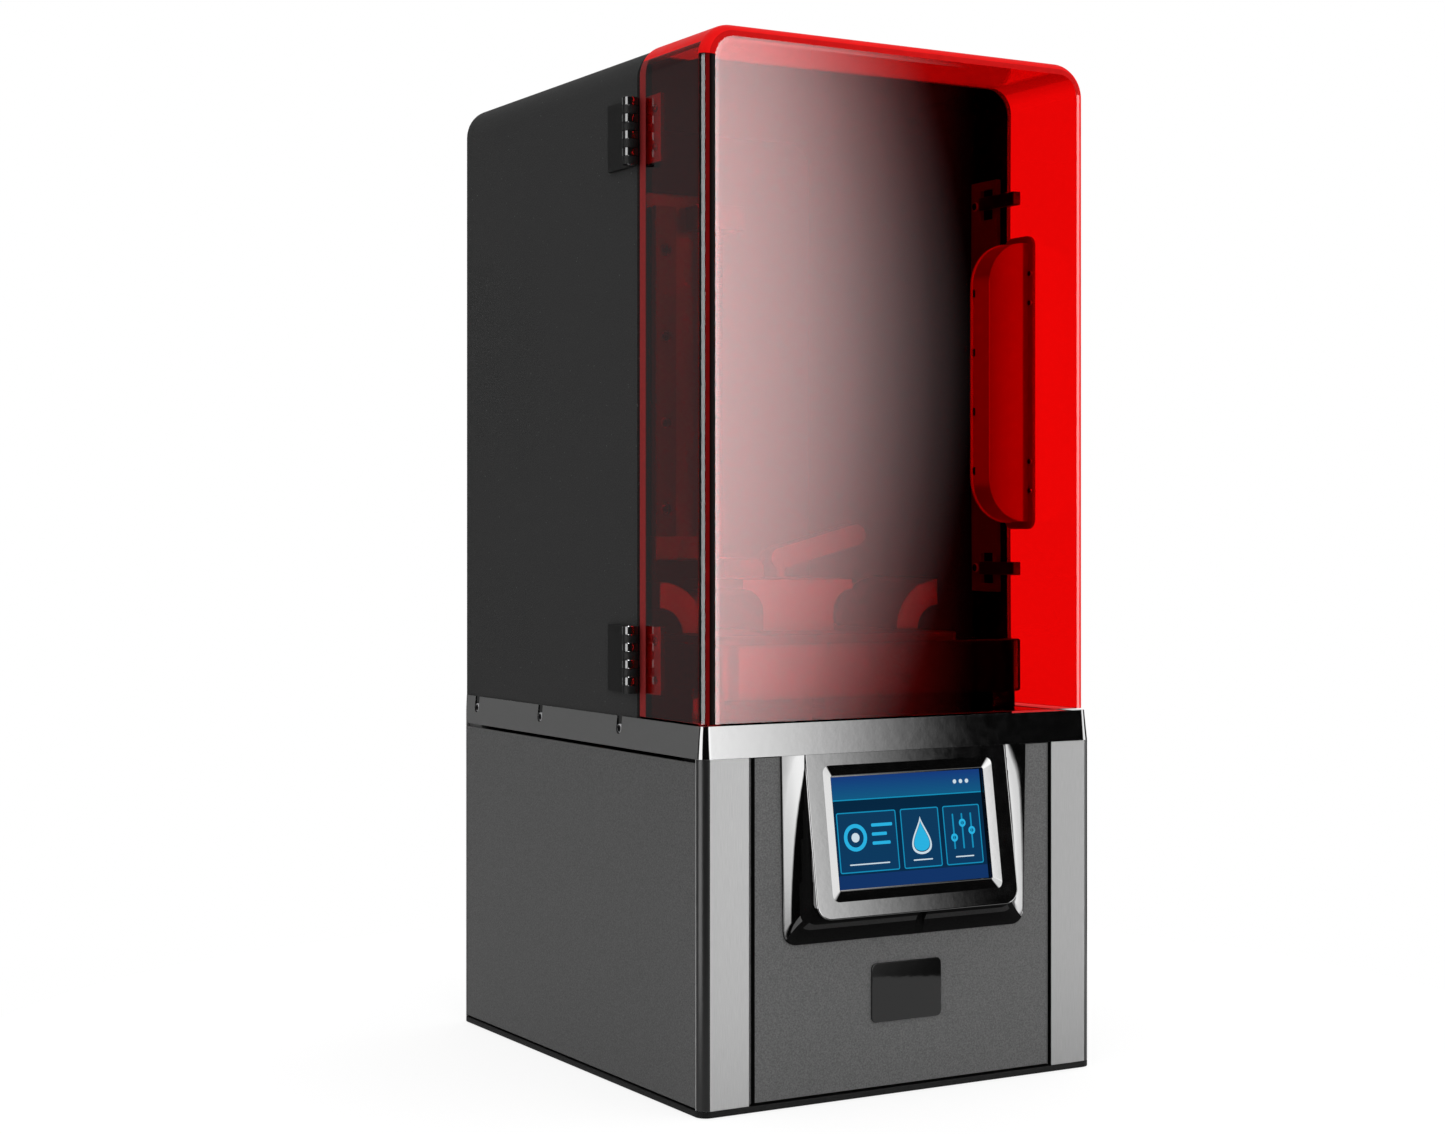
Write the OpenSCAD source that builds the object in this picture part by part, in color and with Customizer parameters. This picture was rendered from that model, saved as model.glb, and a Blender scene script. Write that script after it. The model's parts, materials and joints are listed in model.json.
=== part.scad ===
// Desktop laser resin printer: a sheet metal base with a tilted screen, a tapered deck,
// a black rear shell, and a red clear door that is hinged on the left.
// Millimetres. X runs right, Y runs back, Z runs up. The origin is the centre of the
// base plate's underside, and the front of the printer faces -Y.

/* [Base] */
// Width of the base over both side panels
base_w = 265; // [240:1:300]
// Depth of the base from the front panel to the rear panel
base_d = 311; // [290:1:340]
// Radius of the upright corners of the base
base_corner_r = 6.5; // [5:0.5:10]
// Thickness of the base plate
base_plate_t = 3.6; // [2:0.2:6]
// Thickness of the side panels and of the rear panel
panel_t = 2; // [1.5:0.25:2.5]
// Open line between the base plate and the panels above it
panel_foot_gap = 1; // [0.5:0.1:2]
// Open line between the side panels and the deck
panel_top_gap = 2.2; // [1:0.1:3]
// Height of the deck's underside above the base plate's underside
deck_z = 192.5; // [185:0.5:215]
// Wall of the corner posts
post_t = 4; // [3:0.5:5]
// Width of a corner post's front face
post_face_w = 30; // [20:1:36]
// Depth of the flange behind each side panel's end
post_flange = 18; // [10:1:30]
// Dark groove between a corner post and the front panel
groove_w = 3; // [2:0.5:5]
// Depth of that groove
groove_depth = 2.5; // [1.5:0.5:4]
// Sheet behind the groove
front_sheet_t = 1.5; // [1:0.25:3]
// Metal left above a rubber foot, which is set flush into the base plate
foot_floor = 1.2; // [0.8:0.1:1.6]
// Diameter of a rubber foot
foot_d = 24; // [16:1:36]
// Distance from the base's sides to a foot's centre
foot_inset = 34; // [26:1:60]

/* [Deck] */
// Height of the deck
deck_h = 17.6; // [15:0.2:24]
// How much the deck's front and sides draw in towards its top
deck_front_taper = 1.8; // [0.5:0.1:3]
// Thickness of the deck's top plate
deck_top_t = 7; // [5.5:0.5:8]
// Width of the solid border around the deck's underside
deck_border = 14; // [12:0.5:20]
// Width of the light window's opening
window_w = 140; // [100:1:150]
// Depth of the light window's opening
window_d = 160; // [120:1:170]
// Ledge that carries the window glass
window_ledge = 5; // [3:0.5:8]
// Thickness of the window glass
window_t = 3; // [2:0.5:4]
// Depth of the slots that hold the shell's walls
slot_depth = 11; // [9:0.5:13]
// Width of a screw notch in the deck's rim
notch_w = 6; // [5.8:0.1:8]
// Height of the shell screws below the deck's top
shell_screw_drop = 7.1; // [5:0.1:8]

/* [Shell and door] */
// Overall height of the door and the shell
top_z = 590; // [585:1:640]
// Distance of the door's and the shell's sides from the base's sides
shell_inset = 2.8; // [2.4:0.1:6]
// How far the shell's top lies below the door's top
shell_drop = 1.2; // [0:0.1:3]
// Wall of the rear shell
shell_t = 2.5; // [2:0.25:3]
// Radius of the long top edges
top_edge_r = 19.5; // [12:0.5:30]
// Where the shell's front edge lies behind the front of the base
shell_front = 78; // [72:1:100]
// Gap between the door's rear edge and the shell
door_gap = 3; // [2.8:0.1:5]
// Thickness of the door's clear sheet
door_t = 5; // [4:0.25:6]
// Rounding of the door's front edges
door_edge_r = 7; // [3:0.2:8]
// Open line between the door's bottom edge and the deck
door_foot_gap = 1.1; // [0.8:0.1:3]
// How far the rear cover sits inside the shell's rear edge
cover_inset = 1; // [0.5:0.1:3]

/* [Door hinges] */
// Height of a hinge
hinge_h = 38; // [30:1:60]
// Middle of the lower hinge, above the deck's underside
hinge_low = 50.5; // [45:0.5:90]
// Middle of the upper hinge, below the top
hinge_high = 50; // [45:0.5:90]
// Radius of the hinge knuckles
knuckle_r = 4.5; // [3.5:0.1:5]
// Number of knuckles on one hinge
knuckles = 8; // [4:2:8]
// Diameter of the hinge pins
hinge_pin_d = 4; // [3:0.25:5]
// Thickness of the hinge leaves
leaf_t = 2.5; // [2:0.25:3]
// Length of the leaf on the shell
body_leaf_len = 27; // [20:1:40]
// Length of the leaf inside the door
door_leaf_len = 21; // [16:1:30]

/* [Door handle and latch] */
// Height of the handle cup's flange
handle_h = 177; // [130:1:200]
// Middle of the handle, above the deck's underside
handle_mid = 213; // [190:1:220]
// Depth of the handle cup, inwards from the door's wall
handle_depth = 31; // [20:1:31]
// Width of the handle cup's flange from front to back
handle_flange_w = 28; // [24:1:34]
// Rounding of the cup's inner corners
handle_end_r = 26; // [15:1:29]
// Border of the flange around the cup
handle_border = 4.5; // [4:0.25:5.5]
// Wall of the handle cup
handle_wall = 2; // [1.5:0.25:3]
// Distance of a latch finger from the top and bottom ends of the handle
latch_reach = 24; // [18:1:40]
// Height of a latch finger
latch_h = 8; // [6:0.5:12]
// Thickness of the striker strip
striker_t = 3; // [2:0.25:4]

/* [Lift] */
// Width of the rear column
column_w = 60; // [50:1:80]
// Depth of the rear column
column_d = 20; // [14:1:22]
// Height of the column above the deck
column_h = 330; // [320:1:345]
// Width of the linear rail
rail_w = 15; // [12:0.5:20]
// Height of the rail's section
rail_d = 12; // [9:0.5:14]
// Distance between the rail's screw holes
rail_pitch = 57; // [40:0.5:60]
// Number of screws in the rail
rail_screw_count = 5; // [3:1:5]
// Distance from the rail's upper end to its highest screw
rail_end = 28.8; // [20:0.1:40]
// Height of the carriage on the rail
carriage_h = 50; // [40:1:54]
// Diameter of the lead screw
screw_d = 8; // [6:0.5:10]
// Distance of the lead screw from the middle
screw_x = 34; // [31:0.5:38]
// Width of the lift motor
motor_w = 42; // [35:1:44]
// Height of the lift motor
motor_h = 40; // [30:1:60]

/* [Build platform] */
// Distance of the build plate's sides from the tank's sides
plate_side = 20; // [18:1:44]
// Depth of the build plate
plate_d = 150; // [100:1:156]
// Thickness of the build plate
plate_t = 8; // [5:0.5:12]
// How far the build plate's top stands above the tank's rim at rest
plate_rise = 3; // [2:0.5:10]
// Distance of the build plate's front edge behind the front of the base
plate_front = 68; // [60:1:76]
// Height of the clamp hub and of the grips
hub_h = 31; // [26:1:40]
// Width of the clamp hub's stem
hub_stem_w = 50; // [44:1:60]
// Width of the clamp hub's flared top
hub_top_w = 78; // [70:1:90]
// Depth of the clamp hub
hub_d = 62; // [50:1:70]
// Distance of the hub's front behind the build plate's front
hub_setback = 49; // [40:1:60]
// Wall of a curved grip
grip_wall = 16; // [8:1:20]
// Depth of a grip
grip_d = 70; // [40:1:80]
// Distance of the grips' fronts behind the build plate's front
grip_setback = 40; // [20:1:50]
// Height of the platform arm
arm_h = 22; // [16:1:30]
// Width of the platform arm
arm_w = 32; // [24:1:40]
// Reach of the clamp lever from its pivot
lever_len = 62; // [45:1:64]
// Width and height of the clamp lever
lever_w = 13; // [10:0.5:16]
// Rise of the clamp lever, in degrees
lever_rise = 15; // [5:1:20]

/* [Resin tank] */
// Distance of the tank's sides from the door's inner walls
tank_side = 21.7; // [18.7:0.1:30]
// Distance of the tank's rear from the column
tank_rear = 30; // [28:0.5:50]
// Height of the tank
tank_h = 31; // [26:1:40]
// Wall of the tank
tank_wall = 6; // [4:0.5:8]
// Thickness of the tank's floor
tank_floor = 3; // [2:0.5:5]
// Radius of the tank's upright corners
tank_corner_r = 10; // [7:0.5:20]
// Distance of the tank's front behind the front of the base
tank_front = 26; // [20:1:28]
// Height of the tank's seat rails
seat_h = 11; // [6:0.5:14]
// Thickness of the clear film in the tank
film_t = 0.5; // [0.2:0.05:1]

/* [Screen] */
// Width of the screen surround at its top
surround_w = 166; // [150:1:190]
// How much each side of the surround draws in towards its lower edge
surround_taper = 1.7; // [0:0.1:3]
// Height of the surround
surround_h = 103.8; // [100:0.2:120]
// Thickness of the surround
surround_t = 1.5; // [1:0.25:3]
// Radius of the surround's lower corners
surround_r = 8; // [4:0.5:12]
// Width of the screen housing
screen_w = 136; // [124:1:142]
// Height of the screen housing
screen_h = 89.5; // [84:0.5:94]
// How far the screen housing's lower edge stands out
screen_out = 14; // [8:0.5:20]
// Radius of the screen housing's lower corners
screen_r = 9; // [4:0.5:14]
// Width of the display
display_w = 102; // [80:1:108]
// Height of the display
display_h = 62; // [50:1:66]
// Sloped border around the display
display_border = 6; // [3:0.5:8]
// Depth of the display below the housing's face
display_depth = 4; // [2:0.5:6]
// Thickness of the display
display_t = 2; // [1:0.25:3]
// Distance of the display's middle above the middle of the housing's face
display_lift = 1.5; // [0:0.25:3]
// Width of the bare badge plate
badge_w = 47; // [30:1:70]
// Height of the bare badge plate
badge_h = 33; // [20:1:45]
// Middle of the badge plate above the base plate's underside
badge_z = 57.5; // [50:0.5:62]
// Thickness of the badge plate
badge_t = 1.2; // [0.8:0.1:2]
// Radius of the badge plate's corners
badge_r = 3; // [1:0.25:6]

/* [Works inside the base] */
// Size of the round fan's frame
fan_w = 60; // [50:1:80]
// Depth of the fan
fan_d = 15; // [12:1:25]
// Distance of the fan's middle from the base's left side
fan_side = 73.5; // [58.5:0.5:83.5]
// Height of the fan's middle
fan_z = 110; // [80:1:120]
// Number of fan blades
fan_blades = 7; // [5:1:9]
// Distance of the power inlet's middle from the base's right side
inlet_side = 61.5; // [48.5:0.5:78.5]
// Height of the power inlet's middle
inlet_z = 52; // [45:1:70]
// Width of the power inlet's flange
inlet_w = 44; // [40:1:56]
// Height of the power inlet's flange
inlet_h = 62; // [58:1:80]
// Depth of the power inlet behind the rear panel
inlet_d = 26; // [22:1:40]
// Width of the optics block
optics_w = 110; // [80:1:130]
// Depth of the optics block
optics_d = 120; // [80:1:140]
// Height of the optics block
optics_h = 70; // [40:1:100]
// Width of the power supply
supply_w = 50; // [40:1:54]
// Depth of the power supply
supply_d = 100; // [80:1:110]
// Height of the power supply
supply_h = 60; // [40:1:140]
// Width of the main board
board_w = 44; // [36:1:46]
// Depth of the main board
board_d = 130; // [100:1:150]
// Height of the posts under the main board
board_post_h = 8; // [5:0.5:15]

/* [Hidden] */
$fn = 64;
// Small running clearance of shafts, and the clearance of pieces that only pass
run_clear = 0.05;
fit_clear = 0.3;
thin_clear = 0.15;
// Length by which cutters pass the faces that they cut
over = 1;

half_w = base_w / 2;
front_y = -base_d / 2;
rear_y = base_d / 2;
deck_top = deck_z + deck_h;
panel_z = base_plate_t + panel_foot_gap;
foot_t = base_plate_t - foot_floor;

shell_half = half_w - shell_inset;
shell_in = shell_half - shell_t;
deck_top_half = half_w - deck_front_taper;
slot_z = deck_top - slot_depth;
shell_y = front_y + shell_front;
door_y = front_y + deck_front_taper;
door_rear = shell_y - door_gap;
door_z = deck_top + door_foot_gap;
door_in = shell_half - door_t;
shell_top = top_z - shell_drop;
cover_t = shell_t;
cover_y = rear_y - cover_inset;

shell_screw_d = 3;
shell_screw_head_d = 5;
shell_screw_head_t = 1.5;
shell_screw_len = 8;
shell_screw_z = deck_top - shell_screw_drop;
shell_screw_end = 19;
shell_screw_mid = 122;
shell_screw_ys = [shell_y + shell_screw_end, shell_y + shell_screw_mid, rear_y - shell_screw_end];

knuckle_stand = 0.7;
hinge_x = -shell_half - knuckle_r - knuckle_stand;
hinge_y = shell_y - door_gap / 2;
hinge_zs = [deck_z + hinge_low, top_z - hinge_high];
knuckle_pitch = hinge_h / knuckles;
knuckle_h = knuckle_pitch - fit_clear;
web_t = door_gap - 3 * fit_clear;
leaf_start = knuckle_r + 1;
leaf_screw_d = 4;
leaf_screw_head_d = 6.5;
leaf_screw_head_t = 1.6;
leaf_screw_spread = 11;
leaf_screw_end = 6;

handle_z = deck_z + handle_mid;
handle_setback = 0.8;
handle_rear = door_rear - handle_setback;
handle_y = handle_rear - handle_flange_w / 2;
handle_cup_w = handle_flange_w - 2 * handle_border;
handle_cup_h = handle_h - 2 * handle_border;
handle_screw_head_d = handle_border - 2 * fit_clear;
handle_screw_d = handle_screw_head_d / 2;
handle_screw_bite = 3;
handle_screw_len = handle_wall + handle_screw_bite;
handle_screw_side = (handle_flange_w - handle_border) / 2;
handle_screw_shares = [0.27, 0.37];
handle_screw_front_zs = [for (share = handle_screw_shares, end = [-1, 1]) end * share * handle_h];
handle_screw_rear_z = handle_h / 2 - handle_border - handle_wall / 2;
latch_zs = [handle_z + handle_h / 2 + latch_reach, handle_z - handle_h / 2 - latch_reach];
latch_foot_t = 1.7;
latch_w = 3.8;
latch_foot_len = 14;
latch_front = door_rear - latch_foot_len;
latch_edge = 1;
striker_setback = 7;
striker_edge = 4;
striker_mouth = 13;
striker_edge_rear = 4.5;
striker_y0 = shell_y + striker_setback;
striker_w = striker_edge + striker_mouth + 2 * striker_edge_rear;
striker_play = 5.5;
striker_gap = latch_h + 2 * striker_play;
striker_end = 5;
striker_screw_y = striker_y0 + striker_w - striker_edge_rear;
latch_past = 1;
latch_tip = striker_y0 + striker_edge + striker_mouth / 2 + latch_past;
striker_screw_d = 3;
striker_screw_head_d = 5.5;
striker_screw_head_t = 1.2;

column_gap = 0.5;
column_y = cover_y - cover_t - column_gap;
column_front = column_y - column_d;
column_wall = 4;
column_top = deck_top + column_h;
rail_front = column_front - rail_d;
rail_short = 10;
rail_h = column_h - rail_short;
rail_z = deck_top;
rail_groove = 2;
rail_screw_d = 4;
rail_screw_head_d = 7;
rail_screw_head_t = 4;
rail_screw_sink = 1;
rail_screw_zs = [for (i = [0 : rail_screw_count - 1]) rail_z + rail_h - rail_end - i * rail_pitch];
screw_stand = 14;
screw_y = column_front - screw_stand;
screw_drop = 8;
screw_top = column_top - screw_drop;
block_h = 16;
block_w = 26;

tank_y0 = front_y + tank_front;
tank_w = 2 * (door_in - tank_side);
tank_d = column_front - tank_rear - tank_y0;
tank_z = deck_top + seat_h;
tank_top = tank_z + tank_h;
film_z = tank_z + tank_floor;
film_lap = 10;
window_y = tank_y0 + tank_d / 2;
seat_ledge = 10;
seat_guide = 6;
seat_guide_h = 7;
seat_end = 20;
seat_len = tank_d - 2 * seat_end;

plate_w = tank_w - 2 * plate_side;
plate_top = tank_top + plate_rise;
plate_y0 = front_y + plate_front;
hub_y0 = plate_y0 + hub_setback;
hub_y1 = hub_y0 + hub_d;
hub_top = plate_top + hub_h;
hub_cap_t = 6;
grip_y0 = plate_y0 + grip_setback;
grip_r = hub_h;
grip_edge = 2;
grip_x = plate_w / 2 + grip_r - grip_wall - grip_edge;
carriage_gap = 0.8;
carriage_front_t = 8;
carriage_side = 9;
carriage_w = rail_w + 2 * carriage_side;
carriage_y0 = rail_front - fit_clear - carriage_front_t;
arm_seat = 11;
arm_z = hub_top - arm_seat;
carriage_drop = 13;
carriage_z = arm_z - carriage_drop;
arm_plate_t = 8;
arm_y1 = carriage_y0;
nut_wall = 4;
nut_d = screw_d + 2 * nut_wall;
nut_flange_w = 3;
nut_flange_d = nut_d + 2 * nut_flange_w;
nut_flange_t = 4;
nut_h = 16;
bracket_t = 8;
bracket_rise = 6;
bracket_z = arm_z + bracket_rise;
pivot_setback = 27;
pivot_y = hub_y0 + pivot_setback;
pivot_d = 14;
pivot_h = 12;
pivot_pin_d = 6;
pivot_pin_h = 8;
lever_z = hub_top + fit_clear;

front_panel_half = half_w - post_face_w - groove_w;
surround_z = deck_z - surround_h;
screen_z = deck_z - screen_h;
screen_top_y = front_y - surround_t;
screen_tilt = atan(screen_out / screen_h);
screen_back_inset = 10;
screen_back_drop = 5;
screen_back_d = 7;
screen_back_half = screen_w / 2 - screen_back_inset;
screen_back_low = screen_z + screen_back_inset;
screen_back_high = deck_z - screen_back_drop;

motor_top = deck_top - deck_top_t;
motor_boss_d = 22;
motor_boss_h = 2;
motor_end_t = 1;
fan_x = fan_side - half_w;
fan_rim = 2;
fan_hole_d = fan_w - 2 * fan_rim;
fan_hub_d = 24;
fan_pin_d = 3;
fan_y0 = rear_y - panel_t - fan_d;
fan_strut_w = 4;
fan_plate_t = 3;
fan_blade_t = 1.2;
fan_play = 1;
fan_blade_turn = 35;
fan_slot_w = 4;
fan_slot_pitch = 7.5;
fan_screw_d = 3.4;
inlet_x = half_w - inlet_side;
inlet_wall = 3;
inlet_lip_t = 2;
inlet_lip_w = 6;
inlet_body_w = inlet_w - 2 * inlet_lip_w;
inlet_body_h = inlet_h - 2 * inlet_lip_w;
socket_w = 24;
socket_h = 17;
socket_d = 15;
socket_z = inlet_z - inlet_body_h / 2 + inlet_wall + socket_h / 2;
blade_w = 2;
blade_h = 5;
blade_len = 11;
blade_places = [[-7, -2], [0, 2], [7, -2]];
rocker_w = 19;
rocker_h = 13;
rocker_d = 8;
rocker_gap = 1.6;
rocker_pin_d = 3;
rocker_pin_len = 2;
rocker_z = inlet_z + inlet_body_h / 2 - inlet_wall - rocker_gap - rocker_h / 2;
rocker_proud = 1.5;
rocker_y = rear_y + inlet_lip_t + rocker_proud - rocker_d / 2;
board_t = 1.6;
works_gap = 8;
works_side = half_w - panel_t - post_t - works_gap;

// Extrudes an outline given in X and Z from y0 to y1
module along_y(y0, y1) {
    translate([0, y1, 0])
        rotate([90, 0, 0])
            linear_extrude(y1 - y0)
                children();
}

// Extrudes an outline given in Y and Z from x0 to x1
module along_x(x0, x1) {
    translate([x0, 0, 0])
        rotate([90, 0, 90])
            linear_extrude(x1 - x0)
                children();
}

// A block from its lowest corner to its highest corner
module block(low, high) {
    translate(low)
        cube(high - low);
}

// A rectangle centred on the origin with rounded corners
module rounded_rect(w, d, r) {
    square([w - 2 * r, d], center = true);
    square([w, d - 2 * r], center = true);
    for (x = [-1, 1], y = [-1, 1])
        translate([x * (w / 2 - r), y * (d / 2 - r)])
            circle(r);
}

// An upright outline with two rounded upper corners
module arch(half, z0, z1, r) {
    translate([-half, z0])
        square([2 * half, z1 - r - z0]);
    translate([r - half, z0])
        square([2 * (half - r), z1 - z0]);
    for (side = [-1, 1])
        translate([side * (half - r), z1 - r])
            circle(r);
}

// An upright outline with two rounded lower corners, narrower at the bottom by taper
module hanging(half_top, taper, z0, z1, r) {
    difference() {
        polygon([[-half_top, z1], [half_top, z1], [half_top - taper, z0], [taper - half_top, z0]]);
        for (side = [-1, 1])
            translate([side * (half_top - taper - r), z0 + r])
                difference() {
                    translate([side > 0 ? 0 : -r - over, -r - over])
                        square([r + over, r + over]);
                    circle(r);
                }
    }
}

// A screw along +X from its head's seat at the origin: the head lies at negative X
module screw_along_x(d, len, head_d, head_t) {
    rotate([0, 90, 0])
        cylinder(d = d, h = len);
    translate([-head_t, 0, 0])
        rotate([0, 90, 0])
            cylinder(d = head_d, h = head_t);
}

// A bore along X that starts a little before x0
module bore_x(x0, x1, y, z, d) {
    translate([x0 - over, y, z])
        rotate([0, 90, 0])
            cylinder(d = d, h = x1 - x0 + 2 * over);
}

// Outline of the base at its full size
module base_outline() {
    rounded_rect(base_w, base_d, base_corner_r);
}

// Puts children at the middle of each rubber foot
module foot_places() {
    for (x = [-1, 1], y = [-1, 1])
        translate([x * (half_w - foot_inset), y * (rear_y - foot_inset), 0])
            children();
}

module base_plate() {
    color("#161616")
        difference() {
            linear_extrude(base_plate_t)
                base_outline();
            foot_places()
                translate([0, 0, -over])
                    cylinder(d = foot_d + 2 * thin_clear, h = foot_t + over);
        }
}

module rubber_feet() {
    color("#101010")
        foot_places()
            cylinder(d = foot_d, h = foot_t);
}

// One flat side panel, on the right where side is 1
module side_panel(side) {
    x = side * (half_w - panel_t / 2) - panel_t / 2;
    block([x, front_y + base_corner_r, panel_z],
          [x + panel_t, rear_y - base_corner_r, deck_z - panel_top_gap]);
}

module left_side_panel() {
    color("#4d4d4d") side_panel(-1);
}

module right_side_panel() {
    color("#4d4d4d") side_panel(1);
}

// Quarter ring at the right front corner with the flange behind the side panel
module corner_ring(wall) {
    translate([half_w - base_corner_r, front_y + base_corner_r])
        intersection() {
            difference() {
                circle(base_corner_r);
                circle(base_corner_r - wall);
            }
            translate([0, -base_corner_r])
                square(base_corner_r);
        }
    translate([half_w - panel_t - wall, front_y + base_corner_r])
        square([wall, post_flange]);
}

module corner_post(side) {
    flip = side > 0 ? 0 : 1;
    mirror([flip, 0, 0])
        translate([0, 0, base_plate_t])
            linear_extrude(deck_z - base_plate_t) {
                corner_ring(post_t);
                translate([half_w - post_face_w, front_y])
                    square([post_face_w - base_corner_r, post_t]);
            }
}

module left_corner_post() {
    color("#b9b9b9") corner_post(-1);
}

module right_corner_post() {
    color("#acacac") corner_post(1);
}

module front_panel() {
    back_half = half_w - post_face_w;
    back_y = front_y + groove_depth;
    color("#4a4a4a")
        difference() {
            union() {
                block([-front_panel_half, front_y, panel_z], [front_panel_half, back_y, deck_z]);
                block([-back_half, back_y, base_plate_t],
                      [back_half, back_y + front_sheet_t, deck_z]);
            }
            block([-screen_back_half - fit_clear, front_y - over, screen_back_low - fit_clear],
                  [screen_back_half + fit_clear, back_y + front_sheet_t + over,
                   screen_back_high + fit_clear]);
        }
}

// Upright slots in front of the fan, trimmed to its round opening
module fan_grille() {
    rows = floor(fan_hole_d / 2 / fan_slot_pitch);
    intersection() {
        circle(d = fan_hole_d);
        for (i = [-rows : rows])
            translate([i * fan_slot_pitch, 0])
                square([fan_slot_w, fan_hole_d], center = true);
    }
}

module rear_lower_panel() {
    color("#454545")
        difference() {
            translate([0, 0, base_plate_t])
                linear_extrude(deck_z - base_plate_t) {
                    for (side = [0, 1])
                        mirror([side, 0, 0])
                            mirror([0, 1, 0])
                                corner_ring(post_t);
                    translate([base_corner_r - half_w, rear_y - panel_t])
                        square([base_w - 2 * base_corner_r, panel_t]);
                }
            along_y(rear_y - panel_t - over, rear_y + over) {
                translate([fan_x, fan_z])
                    fan_grille();
                translate([inlet_x, inlet_z])
                    square([inlet_body_w, inlet_body_h], center = true);
            }
        }
}

// Block with square front corners, an upright rear, and sides and front that draw in towards the top
module deck_wedge() {
    intersection() {
        translate([0, 0, deck_z])
            linear_extrude(deck_h) {
                base_outline();
                translate([-half_w, front_y])
                    square([base_w, base_corner_r]);
            }
        along_y(front_y - over, rear_y + over)
            polygon([[-half_w, deck_z], [half_w, deck_z], [deck_top_half, deck_top],
                     [-deck_top_half, deck_top]]);
        along_x(-half_w - over, half_w + over)
            polygon([[front_y, deck_z], [rear_y, deck_z], [rear_y, deck_top], [door_y, deck_top]]);
    }
}

// Outer block of the deck: its front corners are cones that follow the sloped front and sides
module deck_block() {
    difference() {
        deck_wedge();
        for (side = [0, 1])
            mirror([side, 0, 0])
                block([half_w - base_corner_r, front_y - over, deck_z - over],
                      [half_w + over, front_y + base_corner_r, deck_top + over]);
    }
    for (side = [-1, 1])
        translate([side * (half_w - base_corner_r), front_y + base_corner_r, deck_z])
            cylinder(r1 = base_corner_r, r2 = base_corner_r - deck_front_taper, h = deck_h);
}

// Cut at one side of the deck for the shell's wall, its screws and their notches
module deck_side_cuts() {
    block([shell_in - thin_clear, shell_y - fit_clear, slot_z],
          [shell_half + thin_clear, rear_y + over, deck_top + over]);
    for (y = shell_screw_ys) {
        bore_x(half_w - deck_border + over, half_w, y, shell_screw_z, shell_screw_d + 2 * thin_clear);
        along_x(shell_half, half_w + over) {
            translate([y, shell_screw_z])
                circle(d = notch_w);
            translate([y - notch_w / 2, shell_screw_z])
                square([notch_w, shell_screw_drop + over]);
        }
    }
}

module deck() {
    color("#141414")
        difference() {
            deck_block();
            block([deck_border - half_w, front_y + deck_border, deck_z - over],
                  [half_w - deck_border, rear_y - deck_border, deck_top - deck_top_t]);
            for (side = [0, 1])
                mirror([side, 0, 0])
                    deck_side_cuts();
            translate([0, window_y, deck_top - deck_top_t / 2])
                cube([window_w, window_d, deck_top_t + 2 * over], center = true);
            translate([0, window_y, deck_top])
                cube([window_w + 2 * window_ledge, window_d + 2 * window_ledge, 2 * window_t],
                     center = true);
            translate([screw_x, screw_y, deck_top - deck_top_t - over])
                cylinder(d = motor_boss_d + 2 * fit_clear, h = deck_top_t + 2 * over);
        }
}

module deck_window() {
    color("#a8b8c0", 0.5)
        translate([0, window_y, deck_top - window_t / 2])
            cube([window_w + 2 * window_ledge - 2 * thin_clear,
                  window_d + 2 * window_ledge - 2 * thin_clear, window_t], center = true);
}

// Holes through the shell's right wall for the deck screws
module shell_deck_holes() {
    for (y = shell_screw_ys)
        bore_x(shell_in, shell_half, y, shell_screw_z, shell_screw_d + 2 * thin_clear);
}

module upper_shell() {
    color("#262626")
        difference() {
            along_y(shell_y, rear_y)
                difference() {
                    arch(shell_half, slot_z, shell_top, top_edge_r);
                    arch(shell_in, slot_z - over, shell_top - shell_t, top_edge_r - shell_t);
                }
            for (side = [0, 1])
                mirror([side, 0, 0])
                    shell_deck_holes();
            for (z = hinge_zs, dz = [-1, 1])
                bore_x(-shell_half, -shell_in, body_leaf_screw_y(), z + dz * leaf_screw_spread,
                       leaf_screw_d + 2 * thin_clear);
            for (z = latch_zs)
                bore_x(shell_in, shell_half - shell_t / 2 - over, striker_screw_y, z,
                       striker_screw_d + 2 * thin_clear);
        }
}

module rear_cover() {
    color("#202020")
        along_y(cover_y - cover_t, cover_y)
            arch(shell_in - thin_clear, deck_top, shell_top - shell_t - thin_clear, top_edge_r - shell_t);
}

module shell_screws() {
    color("#8a8a8a")
        for (side = [0, 1], y = shell_screw_ys)
            mirror([side, 0, 0])
                translate([-shell_half, y, shell_screw_z])
                    screw_along_x(shell_screw_d, shell_screw_len, shell_screw_head_d, shell_screw_head_t);
}

module striker_strip() {
    x0 = shell_in - striker_t;
    z0 = latch_zs[1] - striker_gap / 2 - striker_end;
    z1 = latch_zs[0] + striker_gap / 2 + striker_end;
    color("#121212")
        difference() {
            block([x0, striker_y0, z0], [shell_in, striker_y0 + striker_w, z1]);
            for (z = latch_zs)
                block([x0 - over, striker_y0 + striker_edge, z - striker_gap / 2],
                      [shell_in + over, striker_y0 + striker_edge + striker_mouth, z + striker_gap / 2]);
            for (z = latch_zs)
                bore_x(x0, shell_in, striker_screw_y, z, striker_screw_d + 2 * thin_clear);
        }
}

module striker_screws() {
    color("#555555")
        for (z = latch_zs)
            translate([shell_in - striker_t, striker_screw_y, z])
                screw_along_x(striker_screw_d, striker_t + shell_t / 2, striker_screw_head_d,
                        striker_screw_head_t);
}

// The knuckles of one leaf: every second one, starting from first
module leaf_knuckles(first) {
    for (i = [first : 2 : knuckles - 1])
        translate([hinge_x, hinge_y, i * knuckle_pitch - hinge_h / 2 + fit_clear / 2])
            children();
}

// Place along Y of the screws in the leaf on the shell
function body_leaf_screw_y() = hinge_y + leaf_start + body_leaf_len - leaf_screw_end;

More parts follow.
